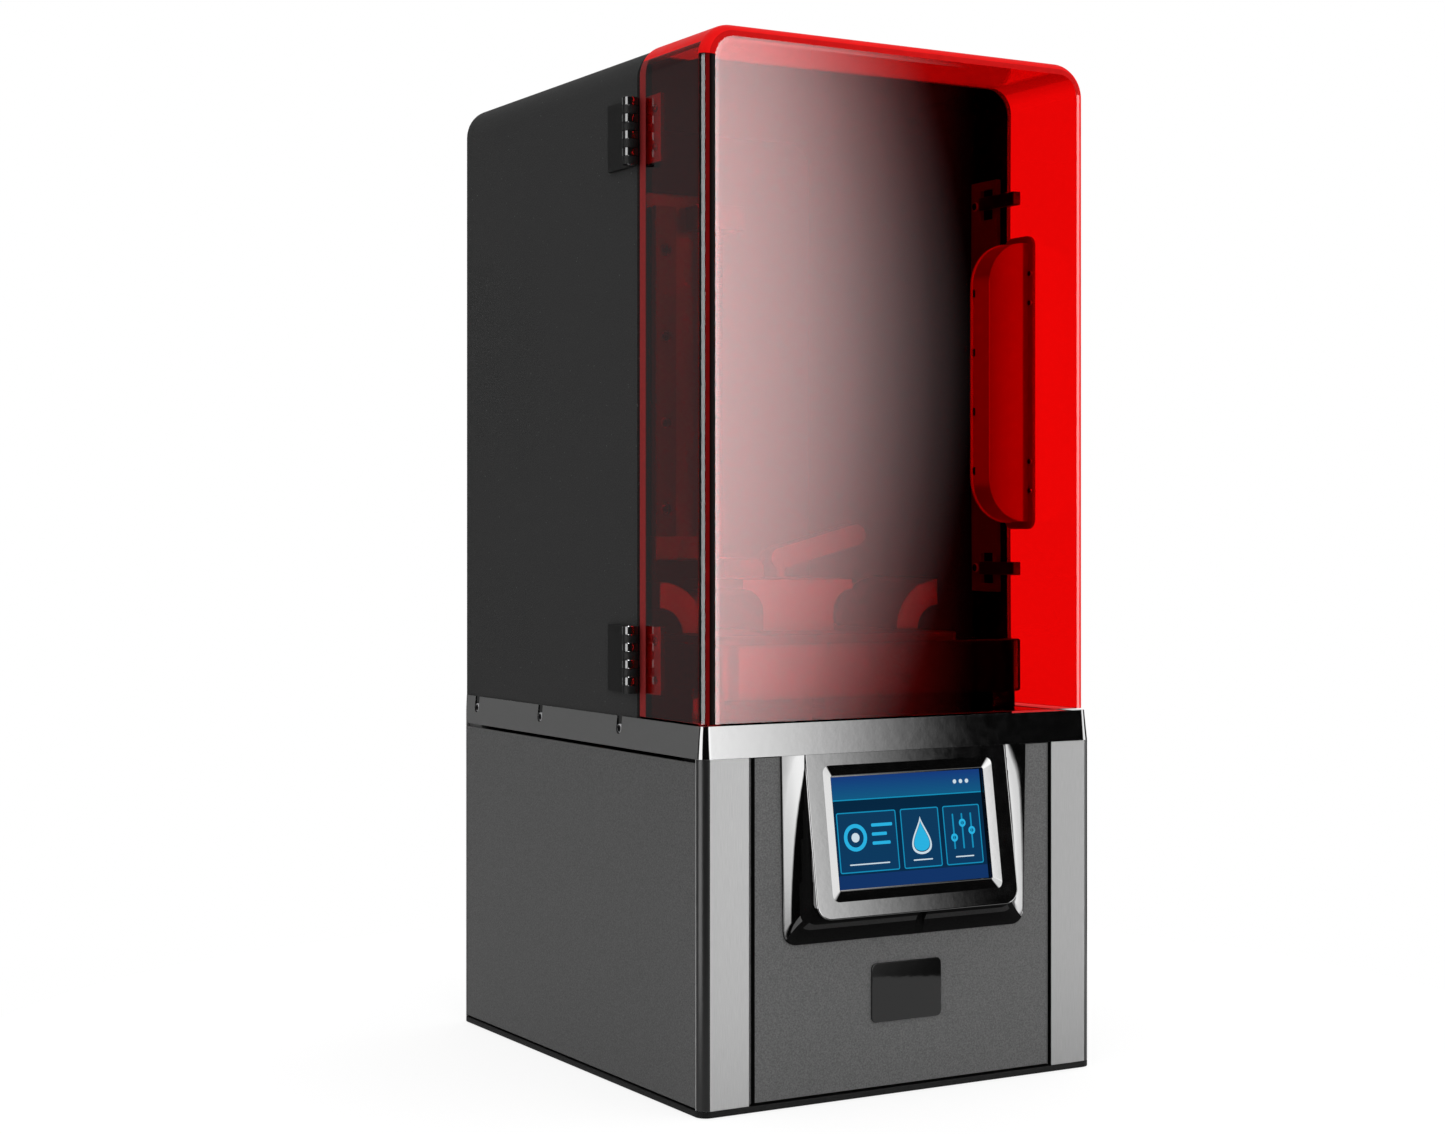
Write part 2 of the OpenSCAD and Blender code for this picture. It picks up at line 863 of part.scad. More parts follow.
// The leaf on the shell: a plate on the outside of its wall, with its knuckles
module body_leaf() {
    x0 = -shell_half - leaf_t;
    y0 = hinge_y + leaf_start;
    difference() {
        union() {
            block([x0, y0, -hinge_h / 2], [-shell_half, y0 + body_leaf_len, hinge_h / 2]);
            leaf_knuckles(0) {
                cylinder(r = knuckle_r, h = knuckle_h);
                block([0, door_gap / 2, 0], [-shell_half - hinge_x, leaf_start + over, knuckle_h]);
            }
        }
        translate([hinge_x, hinge_y, -hinge_h])
            cylinder(d = hinge_pin_d + 2 * run_clear, h = 2 * hinge_h);
        for (dz = [-1, 1])
            bore_x(x0 + over + leaf_t / 4, -shell_half, body_leaf_screw_y(), dz * leaf_screw_spread,
                   leaf_screw_d + 2 * thin_clear);
    }
}

module upper_body_leaf() {
    color("#101010") translate([0, 0, hinge_zs[1]]) body_leaf();
}

module lower_body_leaf() {
    color("#101010") translate([0, 0, hinge_zs[0]]) body_leaf();
}

module body_leaf_screws() {
    color("#555555")
        for (z = hinge_zs, dz = [-1, 1])
            translate([-shell_in, body_leaf_screw_y(), z + dz * leaf_screw_spread])
                mirror([1, 0, 0])
                    screw_along_x(leaf_screw_d, shell_t + leaf_t / 2, leaf_screw_head_d, leaf_screw_head_t);
}

module hinge_pins() {
    color("#c8c8c8")
        for (z = hinge_zs)
            translate([hinge_x, hinge_y, z - hinge_h / 2])
                cylinder(d = hinge_pin_d, h = hinge_h);
}

// The leaf inside the door: it turns round the door's rear edge to reach its knuckles
module door_leaf() {
    web_y0 = hinge_y - web_t / 2;
    x0 = -door_in;
    edge_x = -shell_half - thin_clear;
    difference() {
        union() {
            block([x0, door_rear - door_leaf_len, -hinge_h / 2],
                  [x0 + leaf_t, web_y0 + web_t, hinge_h / 2]);
            block([edge_x, web_y0, -hinge_h / 2], [x0 + over, web_y0 + web_t, hinge_h / 2]);
            leaf_knuckles(1) {
                cylinder(r = knuckle_r, h = knuckle_h);
                block([0, -web_t / 2, 0], [edge_x - hinge_x + over, web_t / 2, knuckle_h]);
            }
        }
        translate([hinge_x, hinge_y, -hinge_h])
            cylinder(d = hinge_pin_d + 2 * run_clear, h = 2 * hinge_h);
        for (dz = [-1, 1])
            bore_x(x0, x0 + leaf_t, door_leaf_screw_y(), dz * leaf_screw_spread,
                   leaf_screw_d + 2 * thin_clear);
    }
}

// Place along Y of the screws in the leaf inside the door
function door_leaf_screw_y() = door_rear - door_leaf_len + leaf_screw_end;

module upper_door_leaf() {
    color("#141010") translate([0, 0, hinge_zs[1]]) door_leaf();
}

module lower_door_leaf() {
    color("#141010") translate([0, 0, hinge_zs[0]]) door_leaf();
}

module door_leaf_screws() {
    color("#555555")
        for (z = hinge_zs, dz = [-1, 1])
            translate([leaf_t - door_in, door_leaf_screw_y(), z + dz * leaf_screw_spread])
                mirror([1, 0, 0])
                    screw_along_x(leaf_screw_d, leaf_t + door_t / 2, leaf_screw_head_d, leaf_screw_head_t);
}

// A box with rounded long top edges, rounded upright front edges and a rounded top front edge
module rounded_front(half, z0, z1, y0, y1, r, edge) {
    along_y(y0 + edge, y1)
        arch(half, z0, z1, r);
    along_y(y0, y0 + edge)
        arch(half - edge, z0, z1 - edge, r - edge);
    translate([r - half, y0 + edge, z1 - edge])
        rotate([0, 90, 0])
            cylinder(r = edge, h = 2 * (half - r));
    for (side = [0, 1])
        mirror([side, 0, 0]) {
            translate([half - edge, y0 + edge, z0])
                cylinder(r = edge, h = z1 - r - z0);
            translate([half - r, y0 + edge, z1 - r])
                rotate([90, 0, 0])
                    rotate_extrude(angle = 90)
                        translate([r - edge, 0])
                            circle(edge);
        }
}

// Outline of the handle cup seen from the front: its flat side lies on the door's wall
module cup_outline(depth, height, r) {
    translate([door_in - depth, handle_z - height / 2 + r])
        square([depth, height - 2 * r]);
    translate([door_in - depth + r, handle_z - height / 2])
        square([depth - r, height]);
    for (dz = [-1, 1])
        translate([door_in - depth + r, handle_z + dz * (height / 2 - r)])
            intersection() {
                circle(r);
                translate([-r, -r])
                    square([r, 2 * r]);
            }
}

// Puts children at the handle's screws: four along its flange's front side and two at its rear corners
module handle_screw_places() {
    for (z = handle_screw_front_zs)
        translate([door_in - handle_wall, handle_y - handle_screw_side, handle_z + z])
            children();
    for (end = [-1, 1])
        translate([door_in - handle_wall, handle_y + handle_screw_side,
                   handle_z + end * handle_screw_rear_z])
            children();
}

module door_shell() {
    cup_y0 = handle_y - handle_cup_w / 2;
    cup_y1 = handle_y + handle_cup_w / 2;
    color("#d01010", 0.5)
        difference() {
            rounded_front(shell_half, door_z, top_z, door_y, door_rear, top_edge_r, door_edge_r);
            along_y(door_y + door_t, door_rear + over)
                arch(door_in, door_z - over, top_z - door_t, top_edge_r - door_t);
            block([door_in - over, cup_y0 + handle_wall, handle_z - handle_cup_h / 2 + handle_wall],
                  [shell_half + over, cup_y1 - handle_wall, handle_z + handle_cup_h / 2 - handle_wall]);
            handle_screw_places()
                rotate([0, 90, 0])
                    cylinder(d = handle_screw_d + 2 * thin_clear, h = handle_screw_len + thin_clear);
            for (z = hinge_zs, dz = [-1, 1])
                bore_x(-door_in - door_t / 2, over - door_in, door_leaf_screw_y(),
                       z + dz * leaf_screw_spread, leaf_screw_d + 2 * thin_clear);
        }
}

module handle_cup() {
    cup_y0 = handle_y - handle_cup_w / 2;
    cup_y1 = handle_y + handle_cup_w / 2;
    color("#8c1010")
        difference() {
            union() {
                along_y(cup_y0, cup_y1)
                    cup_outline(handle_depth, handle_cup_h, handle_end_r);
                along_x(door_in - handle_wall, door_in)
                    translate([handle_y, handle_z])
                        rounded_rect(handle_flange_w, handle_h, handle_border + handle_wall);
            }
            along_y(cup_y0 + handle_wall, cup_y1 - handle_wall)
                cup_outline(handle_depth - handle_wall, handle_cup_h - 2 * handle_wall,
                            handle_end_r - handle_wall);
            handle_screw_places()
                rotate([0, 90, 0])
                    translate([0, 0, -over])
                        cylinder(d = handle_screw_d + 2 * thin_clear, h = handle_wall + 2 * over);
        }
}

module handle_screws() {
    color("#201010")
        handle_screw_places()
            screw_along_x(handle_screw_d, handle_screw_len, handle_screw_head_d, handle_wall / 2);
}

// Two fingers on the door's inner wall that reach into the striker strip's openings
module latch_fingers() {
    x1 = door_in - latch_foot_t;
    color("#0c0c0c")
        for (z = latch_zs) {
            block([x1, latch_front, z - latch_h / 2], [door_in, door_rear - latch_edge, z + latch_h / 2]);
            block([x1 - latch_w, latch_front, z - latch_h / 2], [x1, latch_tip, z + latch_h / 2]);
        }
}

module z_column() {
    half = column_w / 2;
    inner = half - column_wall;
    color("#303030")
        translate([0, 0, deck_top])
            linear_extrude(column_h)
                difference() {
                    translate([-half, column_front])
                        square([column_w, column_d]);
                    for (side = [0, 1])
                        mirror([side, 0, 0])
                            translate([rail_screw_head_d, column_front + column_wall])
                                square([inner - rail_screw_head_d, column_d - 2 * column_wall]);
                }
}

module z_rail() {
    half = rail_w / 2;
    waist = half - rail_groove;
    side_mid = rail_front + rail_d / 2;
    color("#9a9a9a")
        difference() {
            translate([0, 0, rail_z])
                linear_extrude(rail_h)
                    difference() {
                        translate([-half, rail_front])
                            square([rail_w, rail_d]);
                        for (side = [-1, 1])
                            translate([side * (half + waist) / 2, side_mid])
                                square([half - waist, rail_d / 3], center = true);
                    }
            for (z = rail_screw_zs)
                translate([0, rail_front - over, z])
                    rotate([-90, 0, 0]) {
                        cylinder(d = rail_screw_d + 2 * thin_clear, h = rail_d + 2 * over);
                        cylinder(d = rail_screw_head_d + 2 * thin_clear,
                                 h = over + rail_screw_sink + rail_screw_head_t);
                    }
        }
}

module rail_screws() {
    color("#7a7a7a")
        for (z = rail_screw_zs)
            translate([0, rail_front + rail_screw_sink + rail_screw_head_t, z])
                rotate([-90, 0, 0]) {
                    cylinder(d = rail_screw_d, h = rail_d - rail_screw_sink - rail_screw_head_t);
                    translate([0, 0, -rail_screw_head_t])
                        cylinder(d = rail_screw_head_d, h = rail_screw_head_t);
                }
}

module screw_bearing() {
    color("#2a2a2a")
        difference() {
            block([screw_x - block_w / 2, screw_y - block_w / 2, screw_top - block_h],
                  [screw_x + block_w / 2, column_front, screw_top]);
            translate([screw_x, screw_y, screw_top - block_h - over])
                cylinder(d = screw_d + 2 * run_clear, h = block_h + 2 * over);
        }
}

module z_motor() {
    color("#1c1c1c")
        difference() {
            union() {
                translate([screw_x, screw_y, motor_top - motor_h / 2])
                    cube([motor_w, motor_w, motor_h], center = true);
                translate([screw_x, screw_y, motor_top])
                    cylinder(d = motor_boss_d, h = motor_boss_h);
            }
            translate([screw_x, screw_y, motor_top - motor_h + motor_end_t])
                cylinder(d = screw_d + 2 * run_clear, h = motor_h + motor_boss_h);
        }
}

module lead_screw() {
    color("#bdbdbd")
        translate([screw_x, screw_y, motor_top - motor_h + motor_end_t])
            cylinder(d = screw_d, h = screw_top - motor_top + motor_h - motor_end_t);
}

// Two seat rails beside the light window that carry and guide the tank
module tank_seats() {
    half = tank_w / 2;
    mid = tank_y0 + tank_d / 2;
    color("#181818")
        for (side = [0, 1])
            mirror([side, 0, 0])
                along_y(mid - seat_len / 2, mid + seat_len / 2) {
                    translate([half - seat_ledge, deck_top])
                        square([seat_ledge + seat_guide, seat_h]);
                    translate([half + fit_clear, deck_top])
                        square([seat_guide - fit_clear, seat_h + seat_guide_h]);
                }
}

// Outline of the tank drawn in by inset
module tank_outline(inset) {
    translate([0, tank_y0 + tank_d / 2])
        rounded_rect(tank_w - 2 * inset, tank_d - 2 * inset, tank_corner_r - inset);
}

module resin_tank() {
    color("#0e0e0e")
        difference() {
            translate([0, 0, tank_z])
                linear_extrude(tank_h)
                    tank_outline(0);
            translate([0, 0, film_z])
                linear_extrude(tank_h)
                    tank_outline(tank_wall);
            translate([0, window_y, tank_z])
                cube([window_w, window_d, 3 * tank_floor], center = true);
        }
}

module tank_film() {
    color("#b0b8bc", 0.5)
        translate([0, window_y, film_z + film_t / 2])
            cube([window_w + 2 * film_lap, window_d + 2 * film_lap, film_t], center = true);
}

module rail_carriage() {
    half = carriage_w / 2;
    slot = rail_w / 2 + fit_clear;
    color("#8e8e8e")
        translate([0, 0, carriage_z])
            linear_extrude(carriage_h)
                difference() {
                    translate([-half, carriage_y0])
                        square([carriage_w, column_front - carriage_gap - carriage_y0]);
                    translate([-slot, rail_front - fit_clear])
                        square([2 * slot, rail_d + over]);
                }
}

// Arm from the clamp hub back to the carriage, with a bracket for the lead nut
module platform_arm() {
    half = arm_w / 2;
    plate_half = carriage_w / 2;
    bracket_x1 = screw_x + nut_flange_d / 2;
    color("#2c2c2c")
        difference() {
            union() {
                block([-half, hub_y1, arm_z], [half, arm_y1, arm_z + arm_h]);
                block([-plate_half, arm_y1 - arm_plate_t, arm_z],
                      [plate_half, arm_y1, carriage_z + carriage_h]);
                block([0, arm_y1 - arm_plate_t, bracket_z],
                      [bracket_x1, arm_y1, bracket_z + bracket_t]);
                block([plate_half + fit_clear, arm_y1 - over, bracket_z],
                      [bracket_x1, screw_y + nut_flange_d / 2, bracket_z + bracket_t]);
            }
            translate([screw_x, screw_y, bracket_z - over])
                cylinder(d = nut_d + 2 * thin_clear, h = bracket_t + 2 * over);
        }
}

module lead_nut() {
    color("#b08d3c")
        difference() {
            union() {
                translate([screw_x, screw_y, bracket_z - nut_flange_t])
                    cylinder(d = nut_flange_d, h = nut_flange_t);
                translate([screw_x, screw_y, bracket_z])
                    cylinder(d = nut_d, h = nut_h);
            }
            translate([screw_x, screw_y, bracket_z - nut_flange_t - over])
                cylinder(d = screw_d + 2 * run_clear, h = nut_h + nut_flange_t + 2 * over);
        }
}

// Stem of the clamp hub with a flared cap, and hollow fillets between them
module clamp_hub() {
    flare = (hub_top_w - hub_stem_w) / 2;
    cap_z = hub_top - hub_cap_t;
    color("#3a3a3a")
        difference() {
            along_y(hub_y0, hub_y1) {
                translate([-hub_stem_w / 2, plate_top])
                    square([hub_stem_w, hub_h]);
                difference() {
                    translate([-hub_top_w / 2, cap_z - flare])
                        square([hub_top_w, flare + hub_cap_t]);
                    for (side = [-1, 1])
                        translate([side * hub_top_w / 2, cap_z - flare])
                            circle(flare);
                }
            }
            translate([0, pivot_y, hub_top - pivot_pin_h - over])
                cylinder(d = pivot_pin_d + 2 * run_clear, h = pivot_pin_h + 2 * over);
        }
}

module build_plate() {
    color("#8f8f8f")
        translate([0, plate_y0 + plate_d / 2, plate_top - plate_t])
            linear_extrude(plate_t)
                rounded_rect(plate_w, plate_d, plate_t / 2);
}

// A grip that curves outwards from the build plate through a quarter turn
module grip(side) {
    along_y(grip_y0, grip_y0 + grip_d)
        translate([side * grip_x, plate_top])
            intersection() {
                difference() {
                    circle(grip_r);
                    circle(grip_r - grip_wall);
                }
                translate([side > 0 ? -grip_r : 0, 0])
                    square(grip_r);
            }
}

module left_grip() {
    color("#3a3a3a") grip(-1);
}

module right_grip() {
    color("#3a3a3a") grip(1);
}

// Clamp lever: a turning post on the hub, and an arm that rises from it to the right
module clamp_lever() {
    reach = (lever_len - lever_w / 2) / cos(lever_rise);
    color("#303030") {
        translate([0, pivot_y, lever_z])
            cylinder(d = pivot_d, h = pivot_h);
        translate([0, pivot_y, hub_top - pivot_pin_h])
            cylinder(d = pivot_pin_d, h = pivot_pin_h + fit_clear + over);
        translate([0, pivot_y + lever_w / 2, lever_z + pivot_h])
            rotate([90, 0, 0])
                linear_extrude(lever_w)
                    rotate(lever_rise) {
                        translate([0, -lever_w / 2])
                            square([reach, lever_w]);
                        circle(lever_w / 2);
                        translate([reach, 0])
                            circle(lever_w / 2);
                    }
    }
}

module screen_surround() {
    color("#0c0c0c")
        along_y(front_y - surround_t, front_y)
            difference() {
                hanging(surround_w / 2, surround_taper, surround_z, deck_z, surround_r);
                hanging(screen_w / 2 + thin_clear, 0, screen_z - thin_clear, deck_z + over,
                        screen_r + thin_clear);
            }
}

// Moves children to the middle of the screen housing's tilted face, with Z out of that face
module on_screen_face() {
    translate([0, screen_top_y - screen_out / 2, screen_z + screen_h / 2])
        rotate([90 - screen_tilt, 0, 0])
            translate([0, display_lift, 0])
                children();
}

// Recess of the display: straight below, with borders that open towards the housing's face
module display_recess() {
    half_x = display_w / 2 + thin_clear;
    half_y = display_h / 2 + thin_clear;
    top_x = half_x + display_border;
    top_y = half_y + display_border;
    intersection() {
        translate([0, top_y, 0])
            rotate([90, 0, 0])
                linear_extrude(2 * top_y)
                    polygon([[-half_x, -display_depth], [half_x, -display_depth], [top_x, 0],
                             [top_x, over], [-top_x, over], [-top_x, 0]]);
        translate([-top_x, 0, 0])
            rotate([90, 0, 90])
                linear_extrude(2 * top_x)
                    polygon([[-half_y, -display_depth], [half_y, -display_depth], [top_y, 0],
                             [top_y, over], [-top_y, over], [-top_y, 0]]);
    }
    translate([0, 0, -display_depth - display_t / 2])
        cube([2 * half_x, 2 * half_y, display_t + fit_clear], center = true);
}

module screen_housing() {
    low_y = screen_top_y - screen_out;
    color("#161616")
        difference() {
            union() {
                intersection() {
                    along_x(-screen_w / 2, screen_w / 2)
                        polygon([[front_y, screen_z], [front_y, deck_z], [screen_top_y, deck_z],
                                 [low_y, screen_z]]);
                    along_y(low_y - over, front_y + over)
                        hanging(screen_w / 2, 0, screen_z, deck_z, screen_r);
                }
                block([-screen_back_half, front_y - over, screen_back_low],
                      [screen_back_half, front_y + screen_back_d, screen_back_high]);
            }
            on_screen_face()
                display_recess();
        }
}

module display_panel() {
    color("#123a5c")
        on_screen_face()
            translate([0, 0, -display_depth - display_t / 2 - thin_clear])
                cube([display_w, display_h, display_t], center = true);
}

module badge_plate() {
    color("#0b0b0b")
        along_y(front_y - badge_t, front_y)
            translate([0, badge_z])
                rounded_rect(badge_w, badge_h, badge_r);
}

// Laser source and scanning mirrors in one sealed block under the light window
module optics_block() {
    mouth = optics_w / 3;
    color("#3c3f44")
        difference() {
            translate([0, window_y, base_plate_t + optics_h / 2])
                cube([optics_w, optics_d, optics_h], center = true);
            translate([0, window_y, base_plate_t + optics_h])
                cube([mouth, mouth, optics_h], center = true);
        }
}

module power_supply() {
    color("#a0a4a8")
        block([works_side - supply_w, -supply_d, base_plate_t],
              [works_side, 0, base_plate_t + supply_h]);
}

module main_board() {
    x1 = -works_side + board_w;
    z = base_plate_t + board_post_h;
    post = 6;
    color("#1d5a34") {
        block([-works_side, -board_d / 2, z], [x1, board_d / 2, z + board_t]);
        for (x = [-works_side + post, x1 - post], y = [post - board_d / 2, board_d / 2 - post])
            translate([x, y, base_plate_t])
                cylinder(d = post, h = board_post_h + board_t / 2);
        for (y = [-board_d / 4, 0, board_d / 4])
            block([-works_side + 2 * post, y - post, z + board_t / 2],
                  [x1 - 2 * post, y + post, z + board_t + post]);
    }
}

// Square fan frame with a round opening, and a hub on struts that holds the rotor's pin
module fan_frame() {
    corner = fan_w / 2 - fan_screw_d - fan_play;
    color("#101010")
        translate([fan_x, fan_y0, fan_z])
            rotate([-90, 0, 0]) {
                linear_extrude(fan_d)
                    difference() {
                        square(fan_w, center = true);
                        circle(d = fan_hole_d);
                        for (x = [-1, 1], y = [-1, 1])
                            translate([x * corner, y * corner])
                                circle(d = fan_screw_d);
                    }
                linear_extrude(fan_plate_t)
                    difference() {
                        union() {
                            circle(d = fan_hub_d);
                            for (turn = [0, 90])
                                rotate(turn)
                                    square([fan_hole_d + over, fan_strut_w], center = true);
                        }
                        circle(d = fan_pin_d + 2 * run_clear);
                    }
            }
}

module fan_rotor() {
    hub_z = fan_plate_t + fit_clear;
    hub_h = fan_d - hub_z - fan_play;
    blade_r = fan_hole_d / 2 - fan_play;
    blade_w = hub_h - 2 * fan_play;
    color("#1a1a1a")
        translate([fan_x, fan_y0, fan_z])
            rotate([-90, 0, 0]) {
                cylinder(d = fan_pin_d, h = hub_z + over);
                translate([0, 0, hub_z])
                    cylinder(d = fan_hub_d, h = hub_h);
                for (i = [0 : fan_blades - 1])
                    rotate(i * 360 / fan_blades)
                        translate([(blade_r + fan_hub_d / 2 - over) / 2, 0, hub_z + hub_h / 2])
                            rotate([fan_blade_turn, 0, 0])
                                cube([blade_r - fan_hub_d / 2 + over, blade_w, fan_blade_t],
                                     center = true);
            }
}

// Power inlet: a flange on the rear panel, a socket with three blades, and a rocker's opening
module power_inlet() {
    inner = rear_y - panel_t;
    open_y = rear_y + inlet_lip_t + over;
    open_w = rocker_w + 2 * fit_clear;
    open_h = rocker_h + 2 * rocker_gap;
    socket_y = rear_y + inlet_lip_t - socket_d;
    color("#0d0d0d") {
        difference() {
            union() {
                along_y(rear_y, rear_y + inlet_lip_t)
                    translate([inlet_x, inlet_z])
                        rounded_rect(inlet_w, inlet_h, inlet_wall);
                along_y(inner - inlet_d, rear_y)
                    translate([inlet_x, inlet_z])
                        square([inlet_body_w - fit_clear, inlet_body_h - fit_clear], center = true);
            }
            along_y(socket_y, open_y)
                translate([inlet_x, socket_z])
                    square([socket_w, socket_h], center = true);
            along_y(rear_y - 2 * rocker_d, open_y)
                translate([inlet_x, rocker_z])
                    square([open_w, open_h], center = true);
            translate([inlet_x - rocker_w / 2 - rocker_pin_len - fit_clear, rocker_y, rocker_z])
                rotate([0, 90, 0])
                    cylinder(d = rocker_pin_d + 2 * run_clear,
                             h = rocker_w + 2 * rocker_pin_len + 2 * fit_clear);
        }
        for (place = blade_places)
            along_y(socket_y - over, socket_y + blade_len)
                translate([inlet_x + place[0], socket_z + place[1]])
                    square([blade_w, blade_h], center = true);
    }
}

// Rocker switch, turning on two small pins in the power inlet's sides
module power_rocker() {
    color("#1a1a1a") {
        along_x(inlet_x - rocker_w / 2, inlet_x + rocker_w / 2)
            translate([rocker_y, rocker_z])
                square([rocker_d, rocker_h], center = true);
        translate([inlet_x - rocker_w / 2 - rocker_pin_len, rocker_y, rocker_z])
            rotate([0, 90, 0])
                cylinder(d = rocker_pin_d, h = rocker_w + 2 * rocker_pin_len);
    }
}

base_plate();
rubber_feet();
left_side_panel();
right_side_panel();
rear_lower_panel();
left_corner_post();
right_corner_post();
front_panel();
deck();
deck_window();
upper_shell();
rear_cover();
shell_screws();
striker_strip();
striker_screws();
upper_body_leaf();
lower_body_leaf();
body_leaf_screws();
hinge_pins();
z_column();
z_rail();
rail_screws();
screw_bearing();
z_motor();
tank_seats();
resin_tank();
tank_film();
screen_surround();
screen_housing();
display_panel();
badge_plate();
optics_block();
power_supply();
main_board();
fan_frame();
power_inlet();
door_shell();
handle_cup();
handle_screws();
latch_fingers();
upper_door_leaf();
lower_door_leaf();
door_leaf_screws();
rail_carriage();
platform_arm();
lead_nut();
clamp_hub();
build_plate();
left_grip();
right_grip();
lead_screw();
clamp_lever();
power_rocker();
fan_rotor();
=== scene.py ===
# %% [markdown]
# # Dressing a desktop resin printer
# The CAD model of the printer is the skeleton here: every node sits in its right place, in metres, and the
# moving bodies are already named. Blender adds what the solids lack, which is paint, lacquer, clear red
# acrylic, eased edges, threads, screw sockets and a lit screen. First comes the frame itself.

# %% Load the frame
import json
import math

import bmesh
import bpy
import numpy as np
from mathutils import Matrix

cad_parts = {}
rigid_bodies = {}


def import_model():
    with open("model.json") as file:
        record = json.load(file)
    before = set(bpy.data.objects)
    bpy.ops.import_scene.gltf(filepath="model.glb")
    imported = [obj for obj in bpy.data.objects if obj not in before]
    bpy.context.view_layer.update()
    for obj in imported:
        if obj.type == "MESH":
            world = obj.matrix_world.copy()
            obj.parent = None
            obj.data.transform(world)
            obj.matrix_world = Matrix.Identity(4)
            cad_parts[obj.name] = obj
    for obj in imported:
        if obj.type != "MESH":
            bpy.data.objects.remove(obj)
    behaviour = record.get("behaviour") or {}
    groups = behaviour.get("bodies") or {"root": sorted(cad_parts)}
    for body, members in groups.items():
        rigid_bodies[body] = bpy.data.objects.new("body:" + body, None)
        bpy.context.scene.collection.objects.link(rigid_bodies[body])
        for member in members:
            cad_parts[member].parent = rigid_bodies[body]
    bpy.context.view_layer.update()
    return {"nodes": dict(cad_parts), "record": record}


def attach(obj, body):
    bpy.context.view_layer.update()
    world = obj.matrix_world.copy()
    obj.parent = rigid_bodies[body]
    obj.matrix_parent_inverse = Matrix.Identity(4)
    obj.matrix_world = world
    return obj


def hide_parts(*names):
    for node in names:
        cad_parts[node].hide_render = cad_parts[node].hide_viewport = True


MM = 0.001
# Half the width of the base, and where its front and its rear are, in millimetres
HALF_W, FRONT, REAR = 132.5, -155.5, 155.5
for stray in list(bpy.data.objects):
    bpy.data.objects.remove(stray)
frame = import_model()
nodes = frame["nodes"]
record = frame["record"]
slot_of = {row["node"]: row["material_slot"] for row in record["subparts"]}
body_of = {node: body for body, names in record["behaviour"]["bodies"].items() for node in names}
scene = bpy.context.scene

# %% [markdown]
# ## Camera
# Uprights stay parallel in the picture, so the camera is level and the frame is slid down with the lens shift.
# The focal length and the place come from solving the printer's own corners, so they are stated as numbers.

# %% Camera
PHOTO_W = 1445
FOCAL_PX = 2438.14
HORIZON_ROW, MIDDLE_ROW = 535.1, 567.0
camera_data = bpy.data.cameras.new("photo_camera")
camera_data.sensor_width = 36.0
camera_data.lens = FOCAL_PX * camera_data.sensor_width / PHOTO_W
camera_data.shift_y = (HORIZON_ROW - MIDDLE_ROW) / PHOTO_W
camera = bpy.data.objects.new("photo_camera", camera_data)
camera.location = (-0.7777, -1.2900, 0.3131)
camera.rotation_euler = (math.radians(90.0), 0.0, math.radians(-30.13))
scene.collection.objects.link(camera)
scene.camera = camera
scene.view_settings.view_transform = "Standard"
print("camera: lens", round(camera_data.lens, 2), "mm")

# %% [markdown]
# ## Colour and nodes
# Colours are written as the sRGB hex values that a picture editor shows, and one function turns them to the
# linear light that shaders work in. One more function adds a node, sets it and links it, and that is all the
# help the materials need.

# %% Colour and node helpers
def rgba(code):
    """sRGB hex to linear: below 0.04045 divide by 12.92, above it ((c + 0.055) / 1.055) to the power 2.4."""
    c = np.array([int(code[i:i + 2], 16) for i in (1, 3, 5)]) / 255.0
    linear = np.where(c <= 0.04045, c / 12.92, ((c + 0.055) / 1.055) ** 2.4)
    return (*linear.tolist(), 1.0)


def add(tree, kind, links=None, **settings):
    """Adds one shader node: settings are its properties, links give a socket a value or another node's output."""
    node = tree.nodes.new("ShaderNode" + kind)
    for name, value in settings.items():
        setattr(node, name, value)
    for socket, value in (links or {}).items():
        if isinstance(value, bpy.types.NodeSocket):
            tree.links.new(value, node.inputs[socket])
        else:
            node.inputs[socket].default_value = value
    return node


print("a mid grey of #808080 is", round(rgba("#808080")[0], 3), "in linear light")

# %% [markdown]
# ## Studio
# The picture is a product shot: a white room, a tall softbox in front whose mirror image runs down every glossy
# front face and fades to black on the right, and a strip on each side that draws bright rims. Lamps could stand
# for them, but a softbox is only a direction, so here each one is a ramp over the compass angle in the world, for
# rays that met only gloss and clear pieces. A ramp spans no more than its own angles, because Blender keeps it as
# 256 steps. The side strips are low, near the horizon, and the softbox fades at its top and its foot. Once a ray
# has met a matt surface it finds a plain even fill that leans a little to the front and the top, so a colour
# renders about as it is written. The camera itself sees plain white.

# %% Studio light
# Compass angle in degrees and brightness along each card of light
SOFTBOX, RIM, FAR = 12.0, 11.0, 1.0
FRONT_CARD = [(-85, 0.0), (-84, 0.0), (-79, SOFTBOX), (-61.5, SOFTBOX), (-59.8, 9.3), (-59.0, 8.0), (-58.0, 6.2),
              (-57.1, 4.2), (-56.2, 2.3), (-55.5, 1.2), (-54.9, 0.5), (-54.3, 0.1), (-54.0, 0.0)]
FAR_CARD = [(-180, 0.2), (-150, 0.0), (-49, 0.0), (30, 0.05), (42, FAR), (92, FAR), (100, 0.2), (180, 0.2)]
SIDE_STRIPS = [(-180, RIM), (-157, RIM), (-153, 0.0), (-49, 0.0), (-45, 8.0), (-20, 8.0), (-10, 0.0), (168, 0.0),
               (172, RIM), (180, RIM)]
